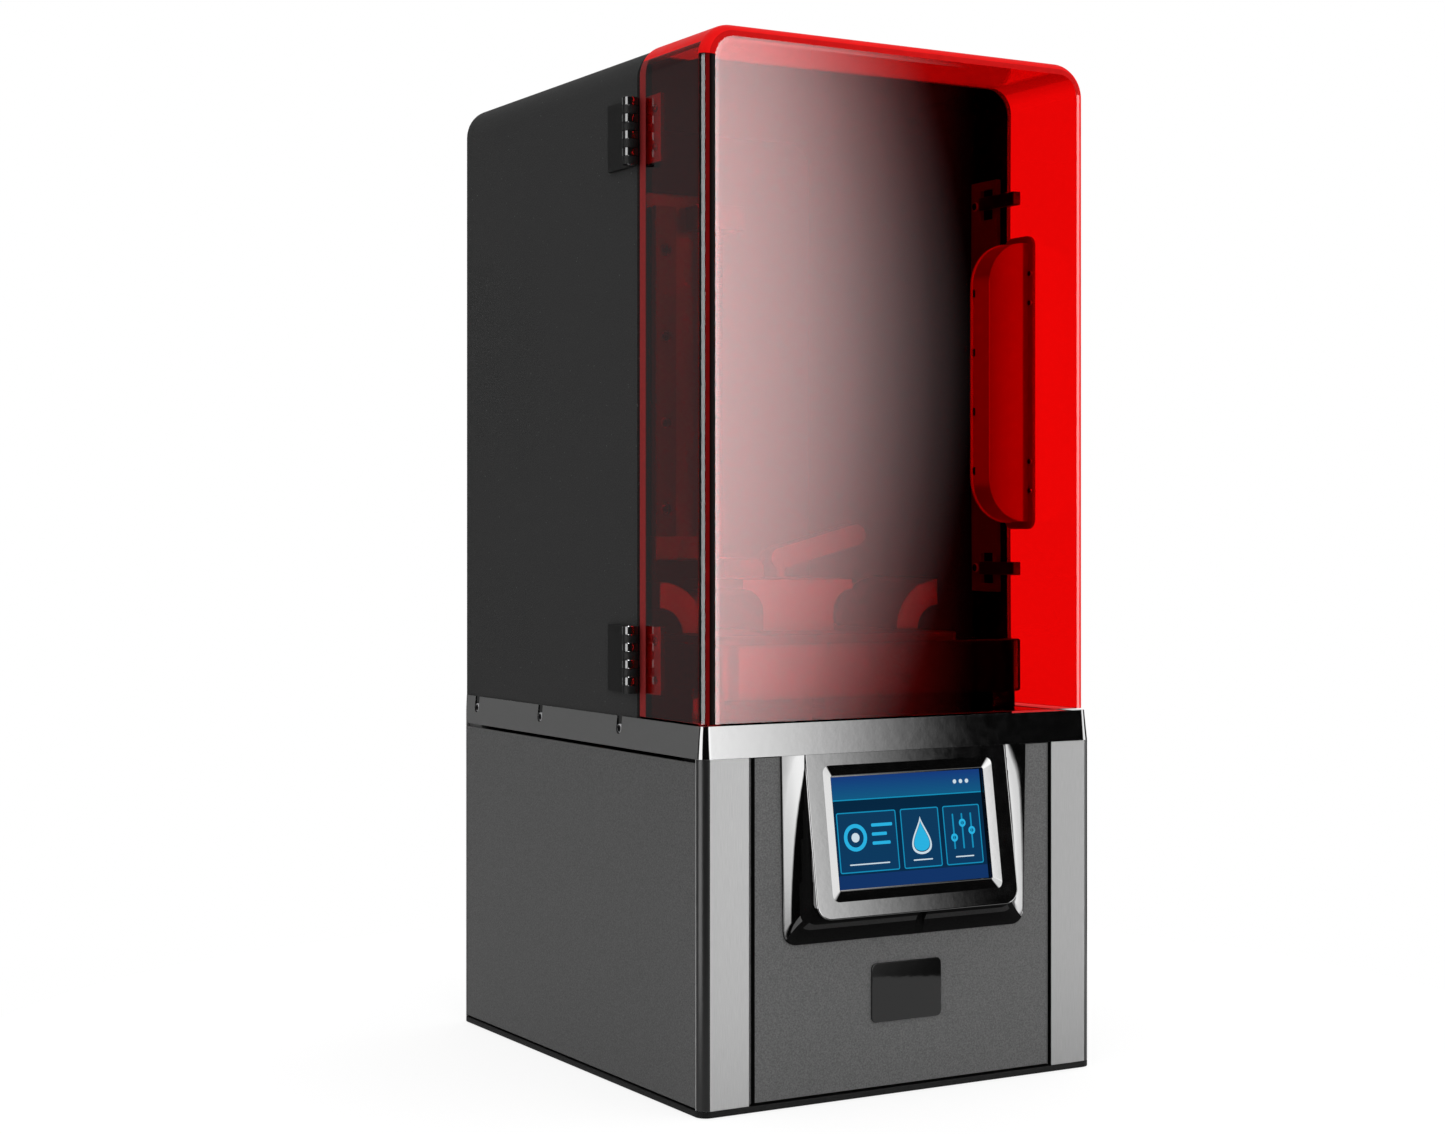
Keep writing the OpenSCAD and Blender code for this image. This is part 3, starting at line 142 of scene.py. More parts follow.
# Place between 0.5 below the horizon and 0.5 above it, and the share of the softbox that is left there
CARD_EDGES = [(0.0, 0.0), (0.31, 0.0), (0.36, 0.6), (0.43, 0.95), (0.46, 1.0), (0.67, 1.0), (0.74, 0.65),
              (1.0, 0.65)]
# Heights above or below the horizon where the side strips start to fade and where they end
STRIP_FULL, STRIP_GONE = 0.22, 0.34
# Where the even fill is a little brighter, and its level
LEAN, FILL = (0.12, -0.32, 0.22), 0.92
WHITE = rgba("#ffffff")
world = bpy.data.worlds.new("studio")
world.use_nodes = True
scene.world = world
tree = world.node_tree
tree.nodes.clear()
heading = add(tree, "TexCoord").outputs["Generated"]
axes = add(tree, "SeparateXYZ", {0: heading}).outputs
compass = add(tree, "Math", {0: axes["Y"], 1: axes["X"]}, operation="ARCTAN2").outputs[0]
levels = []
for stops, brightest in ((FRONT_CARD, SOFTBOX), (SIDE_STRIPS, RIM), (FAR_CARD, FAR)):
    first, last = math.radians(stops[0][0]), math.radians(stops[-1][0])
    turn = add(tree, "MapRange", {"Value": compass, "From Min": first, "From Max": last}).outputs[0]
    card = add(tree, "ValToRGB", {0: turn})
    ramp = card.color_ramp
    for angle, level in stops[1:-1]:
        ramp.elements.new((math.radians(angle) - first) / (last - first))
    for stop, (angle, level) in zip(ramp.elements, stops):
        stop.color = (level / brightest,) * 3 + (1.0,)
    levels.append(add(tree, "Math", {0: card.outputs["Color"], 1: brightest}, operation="MULTIPLY").outputs[0])
height = add(tree, "Math", {0: axes["Z"]}, operation="ABSOLUTE").outputs[0]
low = add(tree, "MapRange", {"Value": height, "From Min": STRIP_FULL, "From Max": STRIP_GONE, "To Min": 1.0,
                             "To Max": 0.0})
share = add(tree, "MapRange", {"Value": axes["Z"], "From Min": -0.5, "From Max": 0.5}).outputs[0]
fade = add(tree, "ValToRGB", {0: share})
for at, level in CARD_EDGES[1:-1]:
    fade.color_ramp.elements.new(at)
for stop, (at, level) in zip(fade.color_ramp.elements, CARD_EDGES):
    stop.color = (level, level, level, 1.0)
cards = add(tree, "Math", {0: levels[0], 1: levels[2]}, operation="ADD").outputs[0]
card = add(tree, "Math", {0: cards, 1: fade.outputs["Color"]}, operation="MULTIPLY").outputs[0]
boxes = add(tree, "Math", {0: levels[1], 1: low.outputs[0], 2: card}, operation="MULTIPLY_ADD").outputs[0]
high = add(tree, "MapRange", {"Value": axes["Z"], "From Min": 0.5, "From Max": 0.85},
           interpolation_type="SMOOTHSTEP")
room = add(tree, "Mix", {0: high.outputs[0], 2: boxes, 3: 1.0}).outputs[0]
slope = add(tree, "VectorMath", {0: heading, 1: LEAN}, operation="DOT_PRODUCT").outputs["Value"]
fill = add(tree, "Math", {0: slope, 1: FILL}, operation="ADD").outputs[0]
path = add(tree, "LightPath").outputs
clear = add(tree, "Math", {0: path["Diffuse Depth"], 1: 0.5}, operation="LESS_THAN").outputs[0]
bright = add(tree, "Math", {0: path["Is Glossy Ray"], 1: path["Is Transmission Ray"]},
             operation="MAXIMUM").outputs[0]
mirrored = add(tree, "Math", {0: bright, 1: clear}, operation="MULTIPLY").outputs[0]
light = add(tree, "Mix", {0: mirrored, 2: fill, 3: room}).outputs[0]
shown = add(tree, "Mix", {0: path["Is Camera Ray"], 2: light, 3: 1.0}).outputs[0]
background = add(tree, "Background", {"Color": WHITE, "Strength": shown})
add(tree, "OutputWorld", {0: background.outputs[0]})
print("studio:", len(levels), "ramps of light")

# %% [markdown]
# The floor is a plain pale disc. To the camera, and in gloss and glass, it is nearly white and keeps the printer's
# soft shadow; for the light that it throws back on the printer it is a plain light grey.

# %% Floor
FLOOR_R, FLOOR_Z, FLOOR_SIDES, FLOOR_GLOW = 0.5, -0.0004, 96, 0.8
floor_mesh = bpy.data.meshes.new("floor")
around = np.linspace(0.0, 2.0 * np.pi, FLOOR_SIDES, endpoint=False)
floor_rim = np.stack([FLOOR_R * np.cos(around), FLOOR_R * np.sin(around), np.full(FLOOR_SIDES, FLOOR_Z)], axis=1)
floor_mesh.from_pydata(floor_rim.tolist(), [], [tuple(range(FLOOR_SIDES))])
floor = bpy.data.objects.new("floor", floor_mesh)
scene.collection.objects.link(floor)
# Matt pale paint: the eye sees an even white with a soft shadow
pale = bpy.data.materials.new("pale_floor_paint")
pale.use_nodes = True
tree = pale.node_tree
tree.nodes.clear()
path = add(tree, "LightPath").outputs
paint = add(tree, "BsdfDiffuse", {"Color": rgba("#868686")}).outputs[0]
glow = add(tree, "Emission", {"Color": WHITE, "Strength": FLOOR_GLOW}).outputs[0]
studio_floor = add(tree, "AddShader", {0: paint, 1: glow}).outputs[0]
plain_floor = add(tree, "BsdfDiffuse", {"Color": rgba("#e7e7e7")}).outputs[0]
seen = add(tree, "Math", {0: path["Is Camera Ray"], 1: path["Is Transmission Ray"]},
           operation="MAXIMUM").outputs[0]
seen = add(tree, "Math", {0: seen, 1: path["Is Glossy Ray"]}, operation="MAXIMUM").outputs[0]
either = add(tree, "MixShader", {0: seen, 1: plain_floor, 2: studio_floor}).outputs[0]
add(tree, "OutputMaterial", {0: either})
floor_mesh.materials.append(pale)
print("floor:", 2 * FLOOR_R, "m across")

# %% [markdown]
# ## Finishes
# Nearly all of the printer is either a coat with a fine grain, such as powder paint or moulded plastic, or a
# metal with drawn lines. Both are the same recipe: one noise pattern of a real size in millimetres moves the
# colour, the roughness and the relief together. Clear pieces come after them.

# %% Finish recipes
def blank(name, **sockets):
    """A material with one Principled shader, whose constant sockets are set directly."""
    material = bpy.data.materials.new(name)
    material.use_nodes = True
    shader = material.node_tree.nodes["Principled BSDF"]
    for socket, value in sockets.items():
        shader.inputs[socket.replace("_", " ")].default_value = value
    return material, material.node_tree, shader


def grained(name, dark, light, grain_mm, roughness, relief_mm, lines=(1, 1, 1), speck=None, **sockets):
    """A coat whose colour runs from dark to light and whose roughness and height follow one noise of grain_mm.
    lines stretches the grains along X, Y and Z, which turns them into drawn lines. The few highest peaks of a
    second noise take the colour speck."""
    material, tree, shader = blank(name, **sockets)
    place = add(tree, "TexCoord").outputs["Object"]
    size = [1.0 / (grain_mm * MM * stretch) for stretch in lines]
    place = add(tree, "Mapping", {"Vector": place, "Scale": size}).outputs[0]
    grain = add(tree, "TexNoise", {"Vector": place, "Scale": 1.0, "Detail": 3.0, "Roughness": 0.6}).outputs["Fac"]
    # A noise stays between 0.3 and 0.7 nearly everywhere, so that range is spread out
    spread = add(tree, "MapRange", {"Value": grain, "From Min": 0.3, "From Max": 0.7}).outputs[0]
    tone = add(tree, "Mix", {0: spread, 6: rgba(dark), 7: rgba(light)}, data_type="RGBA").outputs[2]
    rough = add(tree, "MapRange", {"Value": spread, "To Min": roughness[0], "To Max": roughness[1]}).outputs[0]
    bump = add(tree, "Bump", {"Height": spread, "Distance": relief_mm * MM}).outputs[0]
    if speck:
        peaks = add(tree, "TexNoise", {"Vector": place, "Scale": 0.9, "Detail": 0.0, "W": 3.0},
                    noise_dimensions="4D").outputs["Fac"]
        few = add(tree, "MapRange", {"Value": peaks, "From Min": 0.82, "From Max": 0.85}).outputs[0]
        tone = add(tree, "Mix", {0: few, 6: tone, 7: rgba(speck)}, data_type="RGBA").outputs[2]
    tree.links.new(tone, shader.inputs["Base Color"])
    tree.links.new(rough, shader.inputs["Roughness"])
    tree.links.new(bump, shader.inputs["Normal"])
    return material


def clear_sheet(name, thin, deep, ior=1.49, **sockets):
    """A clear sheet whose tint wanders between two tones over some 60 mm, as cast and drawn sheets do."""
    material, tree, shader = blank(name, Roughness=0.0, IOR=ior, Transmission_Weight=1.0, **sockets)
    place = add(tree, "TexCoord").outputs["Object"]
    cloud = add(tree, "TexNoise", {"Vector": place, "Scale": 1 / (60 * MM), "Detail": 1.0}).outputs["Fac"]
    tint = add(tree, "Mix", {0: cloud, 6: rgba(thin), 7: rgba(deep)}, data_type="RGBA").outputs[2]
    tree.links.new(tint, shader.inputs["Base Color"])
    return material


def painted_shading_along_x(name, stops, x_mm, **sockets):
    """A moulded plastic whose tone runs along X through stops, from the first to the last place in x_mm: the
    stops are painted light and shade over the cup's faces."""
    material, tree, shader = blank(name, **sockets)
    place = add(tree, "TexCoord").outputs["Object"]
    x = add(tree, "SeparateXYZ", {0: place}).outputs["X"]
    share = add(tree, "MapRange", {"Value": x, "From Min": x_mm[0] * MM, "From Max": x_mm[-1] * MM}).outputs[0]
    ramp = add(tree, "ValToRGB", {0: share})
    for at in x_mm[1:-1]:
        ramp.color_ramp.elements.new((at - x_mm[0]) / (x_mm[-1] - x_mm[0]))
    for stop, tone in zip(ramp.color_ramp.elements, stops):
        stop.color = rgba(tone)
    tree.links.new(ramp.outputs["Color"], shader.inputs["Base Color"])
    return material


print("a grain of 0.9 mm repeats about", round(1 / (0.9 * MM)), "times in a metre")

# %% [markdown]
# ## Materials by slot
# Every slot of the record gets the finish that such a piece has on the real machine: powder paint on sheet metal,
# drawn, ground or anodised metal on the lift, gloss plastic on the deck. One flat colour could do, but it would
# look like a drawing, so each finish has its grain. Grains of powder paint are about 0.2 mm wide in life; they are
# drawn 0.9 mm wide, and the other fine grains are coarser too, because the real ones would not show.

# %% Materials by slot
# Grains forty times as long along Z look like drawn lines
LINES_Z = (1, 1, 40)
# Soft sheen, and a red that carries painted light and shade across the cup
cup_painted_shading = painted_shading_along_x("red_moulded_polycarbonate",
                        ("#dc1818", "#9c1010", "#bc1414", "#dc1818", "#9c1010", "#941010"),
                        (93.5, 94.4, 104.0, 118.2, 119.4, 121.0), Roughness=0.3, Specular_IOR_Level=0.2)
finishes = {
    # A flat black line under the machine
    "black_plate": grained("matt_black_powder_coat", "#0a0a0a", "#121212", 0.6, (0.5, 0.65), 0.03,
                           Specular_IOR_Level=0.08),
    # Dull and soft, with no highlight
    "foot_rubber": grained("moulded_rubber", "#0e0e0e", "#161616", 1.2, (0.75, 0.9), 0.06),
    # An even grey with a fine salt and pepper grain
    "grey_panel": grained("grey_textured_powder_coat", "#424242", "#5e5e5e", 0.9, (0.6, 0.8), 0.05,
                          Specular_IOR_Level=0.1),
    # A pale satin grey with faint upright lines
    "silver_post": grained("satin_anodised_aluminium", "#949494", "#a0a0a0", 0.25, (0.5, 0.6), 0.004, LINES_Z,
                           Metallic=0.2, Specular_IOR_Level=0.25),
    # A black mirror: what shows is the softbox
    "gloss_black": grained("gloss_black_abs", "#060606", "#090909", 6.0, (0.03, 0.06), 0.004, IOR=1.78),
    # Clear with a breath of green
    "clear_glass": clear_sheet("float_glass", "#e4f0ee", "#dcebe8"),
    # Near black, with a few specks that catch the light
    "black_shell": grained("black_textured_powder_coat", "#252525", "#373737", 0.9, (0.6, 0.8), 0.06,
                           speck="#565656", Specular_IOR_Level=0.06),
    # Small bright points with soft edges
    "screw_steel": grained("zinc_plated_steel", "#a0a0a2", "#bcbcbe", 0.3, (0.25, 0.4), 0.004, Metallic=1.0),
    # Dark, with a dim sheen
    "dark_steel": grained("black_oxide_steel", "#101010", "#181818", 0.5, (0.5, 0.65), 0.01,
                          Specular_IOR_Level=0.12),
    # Bright, with highlights drawn out along it
    "bright_steel": grained("ground_steel", "#c4c4c6", "#d4d4d6", 0.15, (0.18, 0.3), 0.002, LINES_Z, Metallic=1.0),
    # A dark satin with a soft broad sheen
    "dark_aluminium": grained("black_anodised_aluminium", "#232324", "#2e2e30", 0.4, (0.35, 0.5), 0.006),
    # A soft grey metal without lines
    "grey_aluminium": grained("bead_blasted_aluminium", "#86888a", "#9a9c9e", 0.3, (0.4, 0.55), 0.01, Metallic=1.0),
    # A black with a broad highlight
    "motor_black": grained("black_lacquered_steel", "#101010", "#181818", 0.5, (0.35, 0.5), 0.01),
    # A plain dark plastic, a little rough
    "black_plastic": grained("black_moulded_polyamide", "#0c0c0c", "#141414", 0.5, (0.4, 0.55), 0.02),
    # Black that mirrors the softbox dimly through the door
    "tank_black": grained("black_satin_polycarbonate", "#020202", "#050505", 0.6, (0.03, 0.06), 0.0,
                          Specular_IOR_Level=0.2),
    # A dark blue glass, which the lit plates cover
    "screen_glass": grained("screen_cover_glass", "#0a2a52", "#0c3058", 20.0, (0.05, 0.08), 0.0),
    # A plain grey housing
    "works_grey": grained("grey_moulded_abs", "#484a4e", "#55575b", 0.5, (0.45, 0.6), 0.02),
    # Green lacquer over fibres
    "board_green": grained("circuit_board_green", "#154628", "#1d5a34", 2.0, (0.3, 0.45), 0.01),
    # Glossy and clear, and red in what shows through it
    "red_acrylic": clear_sheet("clear_red_cast_acrylic", "#fd3c3c", "#fc3a3a"),
    "red_cup": cup_painted_shading,
    # A warm yellow metal, bright at its edges
    "nut_brass": grained("turned_brass", "#b08c40", "#c4a050", 0.2, (0.22, 0.35), 0.003, Metallic=1.0),
}
print("finishes by slot:", len(finishes))

# %% [markdown]
# Some pieces of one slot differ: the rail is darker than the rod on the real machine, the front panel is given
# painted light because it faces the light, and the right post painted shade because it stands in the shade of the
# softbox. They get a finish of their own.

# %% Finishes of single pieces
# Drawn and nearly black
dark_rail = grained("blackened_rail_steel", "#161616", "#1e1e1e", 0.2, (0.4, 0.5), 0.002, LINES_Z,
                    Specular_IOR_Level=0.2)
# A hard dark grey satin
dark_plate = grained("hard_anodised_plate", "#1b1b1c", "#242426", 0.3, (0.45, 0.55), 0.01, Specular_IOR_Level=0.2)
# A deep black mirror
badge_lacquer = grained("bare_black_badge_lacquer", "#030303", "#050505", 5.0, (0.02, 0.04), 0.002, IOR=1.42)
# Black with bright sweeps where it turns to the light
cove_black = grained("polished_black_abs", "#040404", "#060606", 6.0, (0.03, 0.06), 0.003, IOR=1.72)
# Dim metal points on the dark rail
dark_screws = grained("blackened_screw_steel", "#4c4c4e", "#5a5a5c", 0.3, (0.3, 0.45), 0.004, Metallic=1.0)
# Painted light: the grey of the panels, a shade lighter because the front panel faces the light
front_grey_painted_light = grained("grey_textured_powder_coat_painted_light", "#484848", "#666666", 0.9, (0.6, 0.8), 0.05,
                     Specular_IOR_Level=0.1)
# A mid grey with upright lines
strike_plate = grained("brushed_striker_steel", "#585858", "#646464", 0.3, (0.4, 0.5), 0.004, LINES_Z)
# Pale grey heads without a hard highlight
dull_zinc = grained("dull_zinc_plate", "#a8a8aa", "#b8b8ba", 0.4, (0.4, 0.5), 0.004)
# Painted shade: the posts' satin, a shade darker for the right post, which stands in the shade of the softbox
post_painted_shade = grained("satin_anodised_aluminium_painted_shade", "#848484", "#909090", 0.25, (0.5, 0.6), 0.004, LINES_Z,
                    Metallic=0.2, Specular_IOR_Level=0.25)
own_finish = {"rail_screws": dark_screws, "front_panel": front_grey_painted_light, "z_rail": dark_rail, "build_plate": dark_plate,
              "rail_carriage": dark_plate, "badge_plate": badge_lacquer, "striker_strip": strike_plate,
              "striker_screws": dull_zinc, "shell_screws": dull_zinc, "right_corner_post": post_painted_shade,
              "tank_seats": finishes["tank_black"]}
for node, piece in nodes.items():
    piece.data.materials.clear()
    piece.data.materials.append(own_finish.get(node, finishes[slot_of[node]]))
print("pieces with a finish of their own:", len(own_finish))

# %% [markdown]
# ## Eased edges
# No real edge is a knife edge: the small round along it is what catches the light in the picture. A CAD node is a
# cloud of loose facets that must not be touched, so a copy of it is merged into one skin with numpy, its flat
# facets are dissolved, and a Bevel modifier rounds what is left. The weighted normals keep the flats flat.

# %% Eased copies
def eased(node, width_mm, segments=2, limit=32.0):
    """Copies a CAD node: vertices that agree to a micron become one, faces that fold up are dropped, and every
    edge sharper than limit degrees is rounded by width_mm."""
    source = nodes[node].data
    points = np.empty(len(source.vertices) * 3)
    source.vertices.foreach_get("co", points)
    points = points.reshape(-1, 3)
    corners = np.empty(len(source.loops), int)
    source.loops.foreach_get("vertex_index", corners)
    _, first, index = np.unique(np.round(points * 1e6).astype(np.int64), axis=0, return_index=True,
                                return_inverse=True)
    faces = index.reshape(-1)[corners].reshape(-1, 3)
    whole = (faces[:, 0] != faces[:, 1]) & (faces[:, 1] != faces[:, 2]) & (faces[:, 2] != faces[:, 0])
    mesh = bpy.data.meshes.new(node + "_skin")
    mesh.from_pydata(points[first].tolist(), [], faces[whole].tolist())
    mesh.polygons.foreach_set("use_smooth", np.ones(len(mesh.polygons), bool))
    mesh.materials.append(nodes[node].data.materials[0])
    piece = bpy.data.objects.new(node + "_skin", mesh)
    scene.collection.objects.link(piece)
    flats = piece.modifiers.new("flats", "DECIMATE")
    flats.decimate_type = "DISSOLVE"
    flats.angle_limit = math.radians(0.4)
    flats.delimit = {"NORMAL", "MATERIAL"}
    round_off = piece.modifiers.new("edges", "BEVEL")
    round_off.width = width_mm * MM
    round_off.segments = segments
    round_off.limit_method = "ANGLE"
    round_off.angle_limit = math.radians(limit)
    piece.modifiers.new("shading", "WEIGHTED_NORMAL").keep_sharp = True
    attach(piece, body_of[node])
    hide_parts(node)
    return piece


# Width of the round along each piece's edges
EASED_MM = {"base_plate": 0.5, "left_side_panel": 0.5, "right_side_panel": 0.5, "rear_lower_panel": 0.3,
            "left_corner_post": 0.5, "right_corner_post": 0.5, "front_panel": 0.5, "deck": 0.6, "upper_shell": 0.4,
            "rear_cover": 0.4, "striker_strip": 0.3, "upper_body_leaf": 0.25, "lower_body_leaf": 0.25,
            "z_column": 0.6, "z_rail": 0.4, "screw_bearing": 0.6, "z_motor": 0.8, "tank_seats": 0.6,
            "resin_tank": 2.2, "badge_plate": 0.3, "power_inlet": 0.4, "handle_cup": 0.9, "latch_fingers": 0.5,
            "upper_door_leaf": 0.25, "lower_door_leaf": 0.25, "rail_carriage": 0.6, "platform_arm": 0.8,
            "lead_nut": 0.4, "clamp_hub": 0.8, "build_plate": 0.6, "left_grip": 0.8, "right_grip": 0.8,
            "clamp_lever": 0.8, "power_rocker": 0.5, "fan_frame": 0.4, "fan_rotor": 0.2, "optics_block": 0.8,
            "power_supply": 0.6}
skins = {node: eased(node, width) for node, width in EASED_MM.items()}
print("eased copies:", len(skins))

# %% [markdown]
# ## Pieces from arrays
# The pieces that the solids only hint at are worked out as arrays of points, in millimetres, and turned to metres
# at the end. Three small helpers are enough: one writes down the faces of a grid of points, one closes such a grid
# to a tube with two ends, and one puts points and faces into a mesh, turns all faces outwards and tells the frame
# which body the piece rides on.

# %% Grid faces and pieces
def cells(rows, cols, ring=False):
    """Faces of a grid of points: each cell joins a point to its neighbours in the next row and the next column.
    With ring, the last column joins the first."""
    i = np.arange(rows - 1)[:, None] * cols
    j = np.arange(cols if ring else cols - 1)[None, :]
    k = (j + 1) % cols
    return np.stack([i + j, i + k, i + cols + k, i + cols + j], axis=-1)


def closed(rows, cols):
    """Faces of a closed tube: a grid whose last column joins the first, with its first and last row as end faces."""
    row = np.arange(cols)
    return [*cells(rows, cols, ring=True).reshape(-1, 4), row, row + (rows - 1) * cols]


def piece_from(name, points, faces, slot, body, stands_for=(), finish=None, sharp=30.0, more=(), which=None):
    """A mesh from points in millimetres and a list of faces. Edges that fold more than sharp degrees stay crisp.
    more holds further finishes, and which gives the number of the finish for each face."""
    mesh = bpy.data.meshes.new(name)
    mesh.from_pydata((np.asarray(points).reshape(-1, 3) * MM).tolist(), [], [tuple(face) for face in faces])
    work = bmesh.new()
    work.from_mesh(mesh)
    bmesh.ops.recalc_face_normals(work, faces=work.faces)
    work.to_mesh(mesh)
    work.free()
    mesh.polygons.foreach_set("use_smooth", np.ones(len(mesh.polygons), bool))
    mesh.set_sharp_from_angle(angle=math.radians(sharp))
    for coat in (finish or finishes[slot], *more):
        mesh.materials.append(coat)
    if which is not None:
        mesh.polygons.foreach_set("material_index", np.asarray(which, np.int32))
    piece = bpy.data.objects.new(name, mesh)
    scene.collection.objects.link(piece)
    piece.modifiers.new("shading", "WEIGHTED_NORMAL").keep_sharp = True
    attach(piece, body)
    if stands_for:
        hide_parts(*stands_for)
    return piece


print("a closed tube of 3 rings of 4 points has", len(closed(3, 4)), "faces")

# %% [markdown]
# ## The door
# The door is one folded and polished hood of clear red acrylic, 5 mm thick, with a round along its front edge. A
# solid can show that, but its facets break up what is seen through it, so the hood is made again as one profile
# carried along the arch of its walls: along the inner wall to the rear edge, round it, along the outer wall and
# over the front round. The two faces of the front pane and the foot close it. The opening of the handle is cut by
# leaving out one cell of each wall and joining the two holes. The walls are drawn a tenth of a millimetre thinner,
# so that no face of a hinge leaf coincides with their inner side.

# %% Door hood
# Half width, foot, top, round of the top's corners, thickness and round of the front edge
HALF, FOOT, TOP, TOP_R, WALL, EDGE_R = HALF_W - 2.8, 211.2, 590.0, 19.5, 4.9, 7.0
# Front, rear, round of the rear edge, width of the pane's border, and the opening for the handle
DOOR_FRONT, DOOR_REAR, REAR_R, BORDER = FRONT + 1.8, FRONT + 75.0, 0.5, 2.7
OPEN_Y, OPEN_Z = (FRONT + 52.7, FRONT + 67.7), (323.5, 487.5)


def arch(half, low, high, radius, stations, steps=14):
    """Points and outward normals of an arch: up the left wall over the stations, a quarter turn, along the top,
    a quarter turn and down the right wall."""
    bend = np.linspace(0.0, np.pi / 2, steps)
    left = np.stack([-half + 0 * stations, stations], axis=1)
    turn_l = np.stack([-half + radius - radius * np.cos(bend), high - radius + radius * np.sin(bend)], axis=1)
    points = np.concatenate([left, turn_l])
    normals = np.concatenate([np.tile([-1.0, 0.0], (len(stations), 1)), np.stack([-np.cos(bend), np.sin(bend)], 1)])
    mirror = np.array([-1.0, 1.0])
    return np.concatenate([points, points[::-1] * mirror]), np.concatenate([normals, normals[::-1] * mirror])


quarter = np.linspace(0.0, np.pi / 2, 4)
front_round = np.linspace(0.0, np.pi / 2, 11)
inward = np.concatenate([
    [WALL, WALL, WALL], WALL - REAR_R * (1 - np.cos(quarter)), REAR_R * (1 - np.sin(quarter)), [0.0, 0.0],
    EDGE_R * (1 - np.cos(front_round)), [EDGE_R + BORDER]])
along = np.concatenate([
    [DOOR_FRONT + WALL, *OPEN_Y], DOOR_REAR - REAR_R * (1 - np.sin(quarter)),
    DOOR_REAR - REAR_R * (1 - np.cos(quarter)), OPEN_Y[::-1],
    DOOR_FRONT + EDGE_R * (1 - np.sin(front_round)), [DOOR_FRONT]])
line, outward = arch(HALF, FOOT, TOP, TOP_R, np.array([FOOT, *OPEN_Z]))
wall = line[:, None, :] - inward[None, :, None] * outward[:, None, :]
rows, cols = len(line), len(inward)
hood = np.stack([wall[..., 0], np.broadcast_to(along, (rows, cols)), wall[..., 1]], axis=-1)
number = np.arange(rows * cols).reshape(rows, cols)
skin = cells(rows, cols)
# The opening is one cell of the right wall, in the inner and in the outer side
cut_row, inner_col, outer_col = rows - 3, 1, 11
keep = np.ones(skin.shape[:2], bool)
keep[cut_row, [inner_col, outer_col]] = False
inner_hole = skin[cut_row, inner_col]
outer_hole = skin[cut_row, outer_col][[1, 0, 3, 2]]
jambs = np.stack([inner_hole, np.roll(inner_hole, -1), np.roll(outer_hole, -1), outer_hole], axis=1)
front_panes = [number[:, -1], number[:, 0]]
foot_rim = np.concatenate([number[0], number[-1, ::-1]])
door_faces = [*skin[keep], *jambs, *front_panes, foot_rim]
print("door hood:", rows, "stations of", cols, "points")

# %% [markdown]
# Acrylic pipes light: what enters by the broad faces leaves by the edges, so a lit edge glows and one that looks to
# the dark side of the room is nearly black. Tracing that takes very many rays, so the edges are painted with the
# light and shade that they show, from a bright glow to nearly black. A broad sheet is also never quite flat. The
# front pane bows by a millimetre or two at its corners, which is too little to see in its outline, but it bends
# the mirror image of the softbox.

# %% Door finishes
BOW, BOW_Z = 0.335, 412.0
THIN, DEEP, DIMMED = "#fd3c3c", "#fc3a3a", rgba("#cbcbcb")


def painted_red_edge(name, dark, light, grain_mm=9.0, **sockets):
    """An edge of red acrylic with painted light and shade: a soft even tone, broad clouds and hardly any highlight.
    """
    return grained(name, dark, light, grain_mm, (0.35, 0.5), 0.0, **{"Specular_IOR_Level": 0.03, **sockets})


# Clear red with a dimmer mirror image
coated = clear_sheet("anti_glare_red_acrylic", THIN, DEEP, Specular_Tint=DIMMED)
# Painted glow and shade of the edges, from the brightest to nearly black
polished_glow_edge = painted_red_edge("polished_red_acrylic_edge_painted_glow", "#ec1010", "#f61818", Coat_Weight=0.6, Coat_Roughness=0.02)
glowing = painted_red_edge("red_acrylic_edge_painted_glow", "#d80e0e", "#e41414")
shaded = painted_red_edge("red_acrylic_edge_painted_shade", "#b20a0a", "#c00e0e")
dusk_shade = painted_red_edge("red_acrylic_edge_painted_dusk_shade", "#5a0404", "#680606")
night_shade = painted_red_edge("red_acrylic_edge_painted_night_shade", "#090303", "#0d0404")
# Painted shade: a dull red strip beside the hinges
rear_shade_edge = painted_red_edge("red_acrylic_rear_edge_painted_shade", "#762222", "#842828", 2.0, Specular_IOR_Level=0.05)
# A thin bright line round the pane
border = clear_sheet("polished_red_acrylic_border", THIN, DEEP, ior=1.51)
# A frosted dark red from the saw
sawn = grained("sawn_red_acrylic_edge", "#741616", "#8c1e1e", 0.8, (0.35, 0.5), 0.01, Specular_IOR_Level=0.1)
# The top, deeper in tone because light passes it at a slant
lid = clear_sheet("red_acrylic_lid", "#d62e2e", "#d02a2a", Specular_Tint=DIMMED)
# The pane, clear and glossy; it is sunk by BOW times x times the squared height from BOW_Z, all in metres, so its
# mirror image bends at the top and the foot
bowed = clear_sheet("slightly_bowed_red_acrylic", THIN, DEEP)
tree = bowed.node_tree
place = add(tree, "SeparateXYZ", {0: add(tree, "TexCoord").outputs["Object"]}).outputs
from_mid = add(tree, "Math", {0: place["Z"], 1: BOW_Z * MM}, operation="SUBTRACT").outputs[0]
square = add(tree, "Math", {0: from_mid, 1: from_mid}, operation="MULTIPLY").outputs[0]
warp = add(tree, "Math", {0: square, 1: place["X"]}, operation="MULTIPLY").outputs[0]
bump = add(tree, "Bump", {"Height": warp, "Distance": BOW}, invert=True).outputs[0]
tree.links.new(bump, tree.nodes["Principled BSDF"].inputs["Normal"])
door_coats = (coated, glowing, sawn, polished_glow_edge, lid, border, shaded, rear_shade_edge, dusk_shade, night_shade, bowed)
print("door finishes:", len(door_coats))
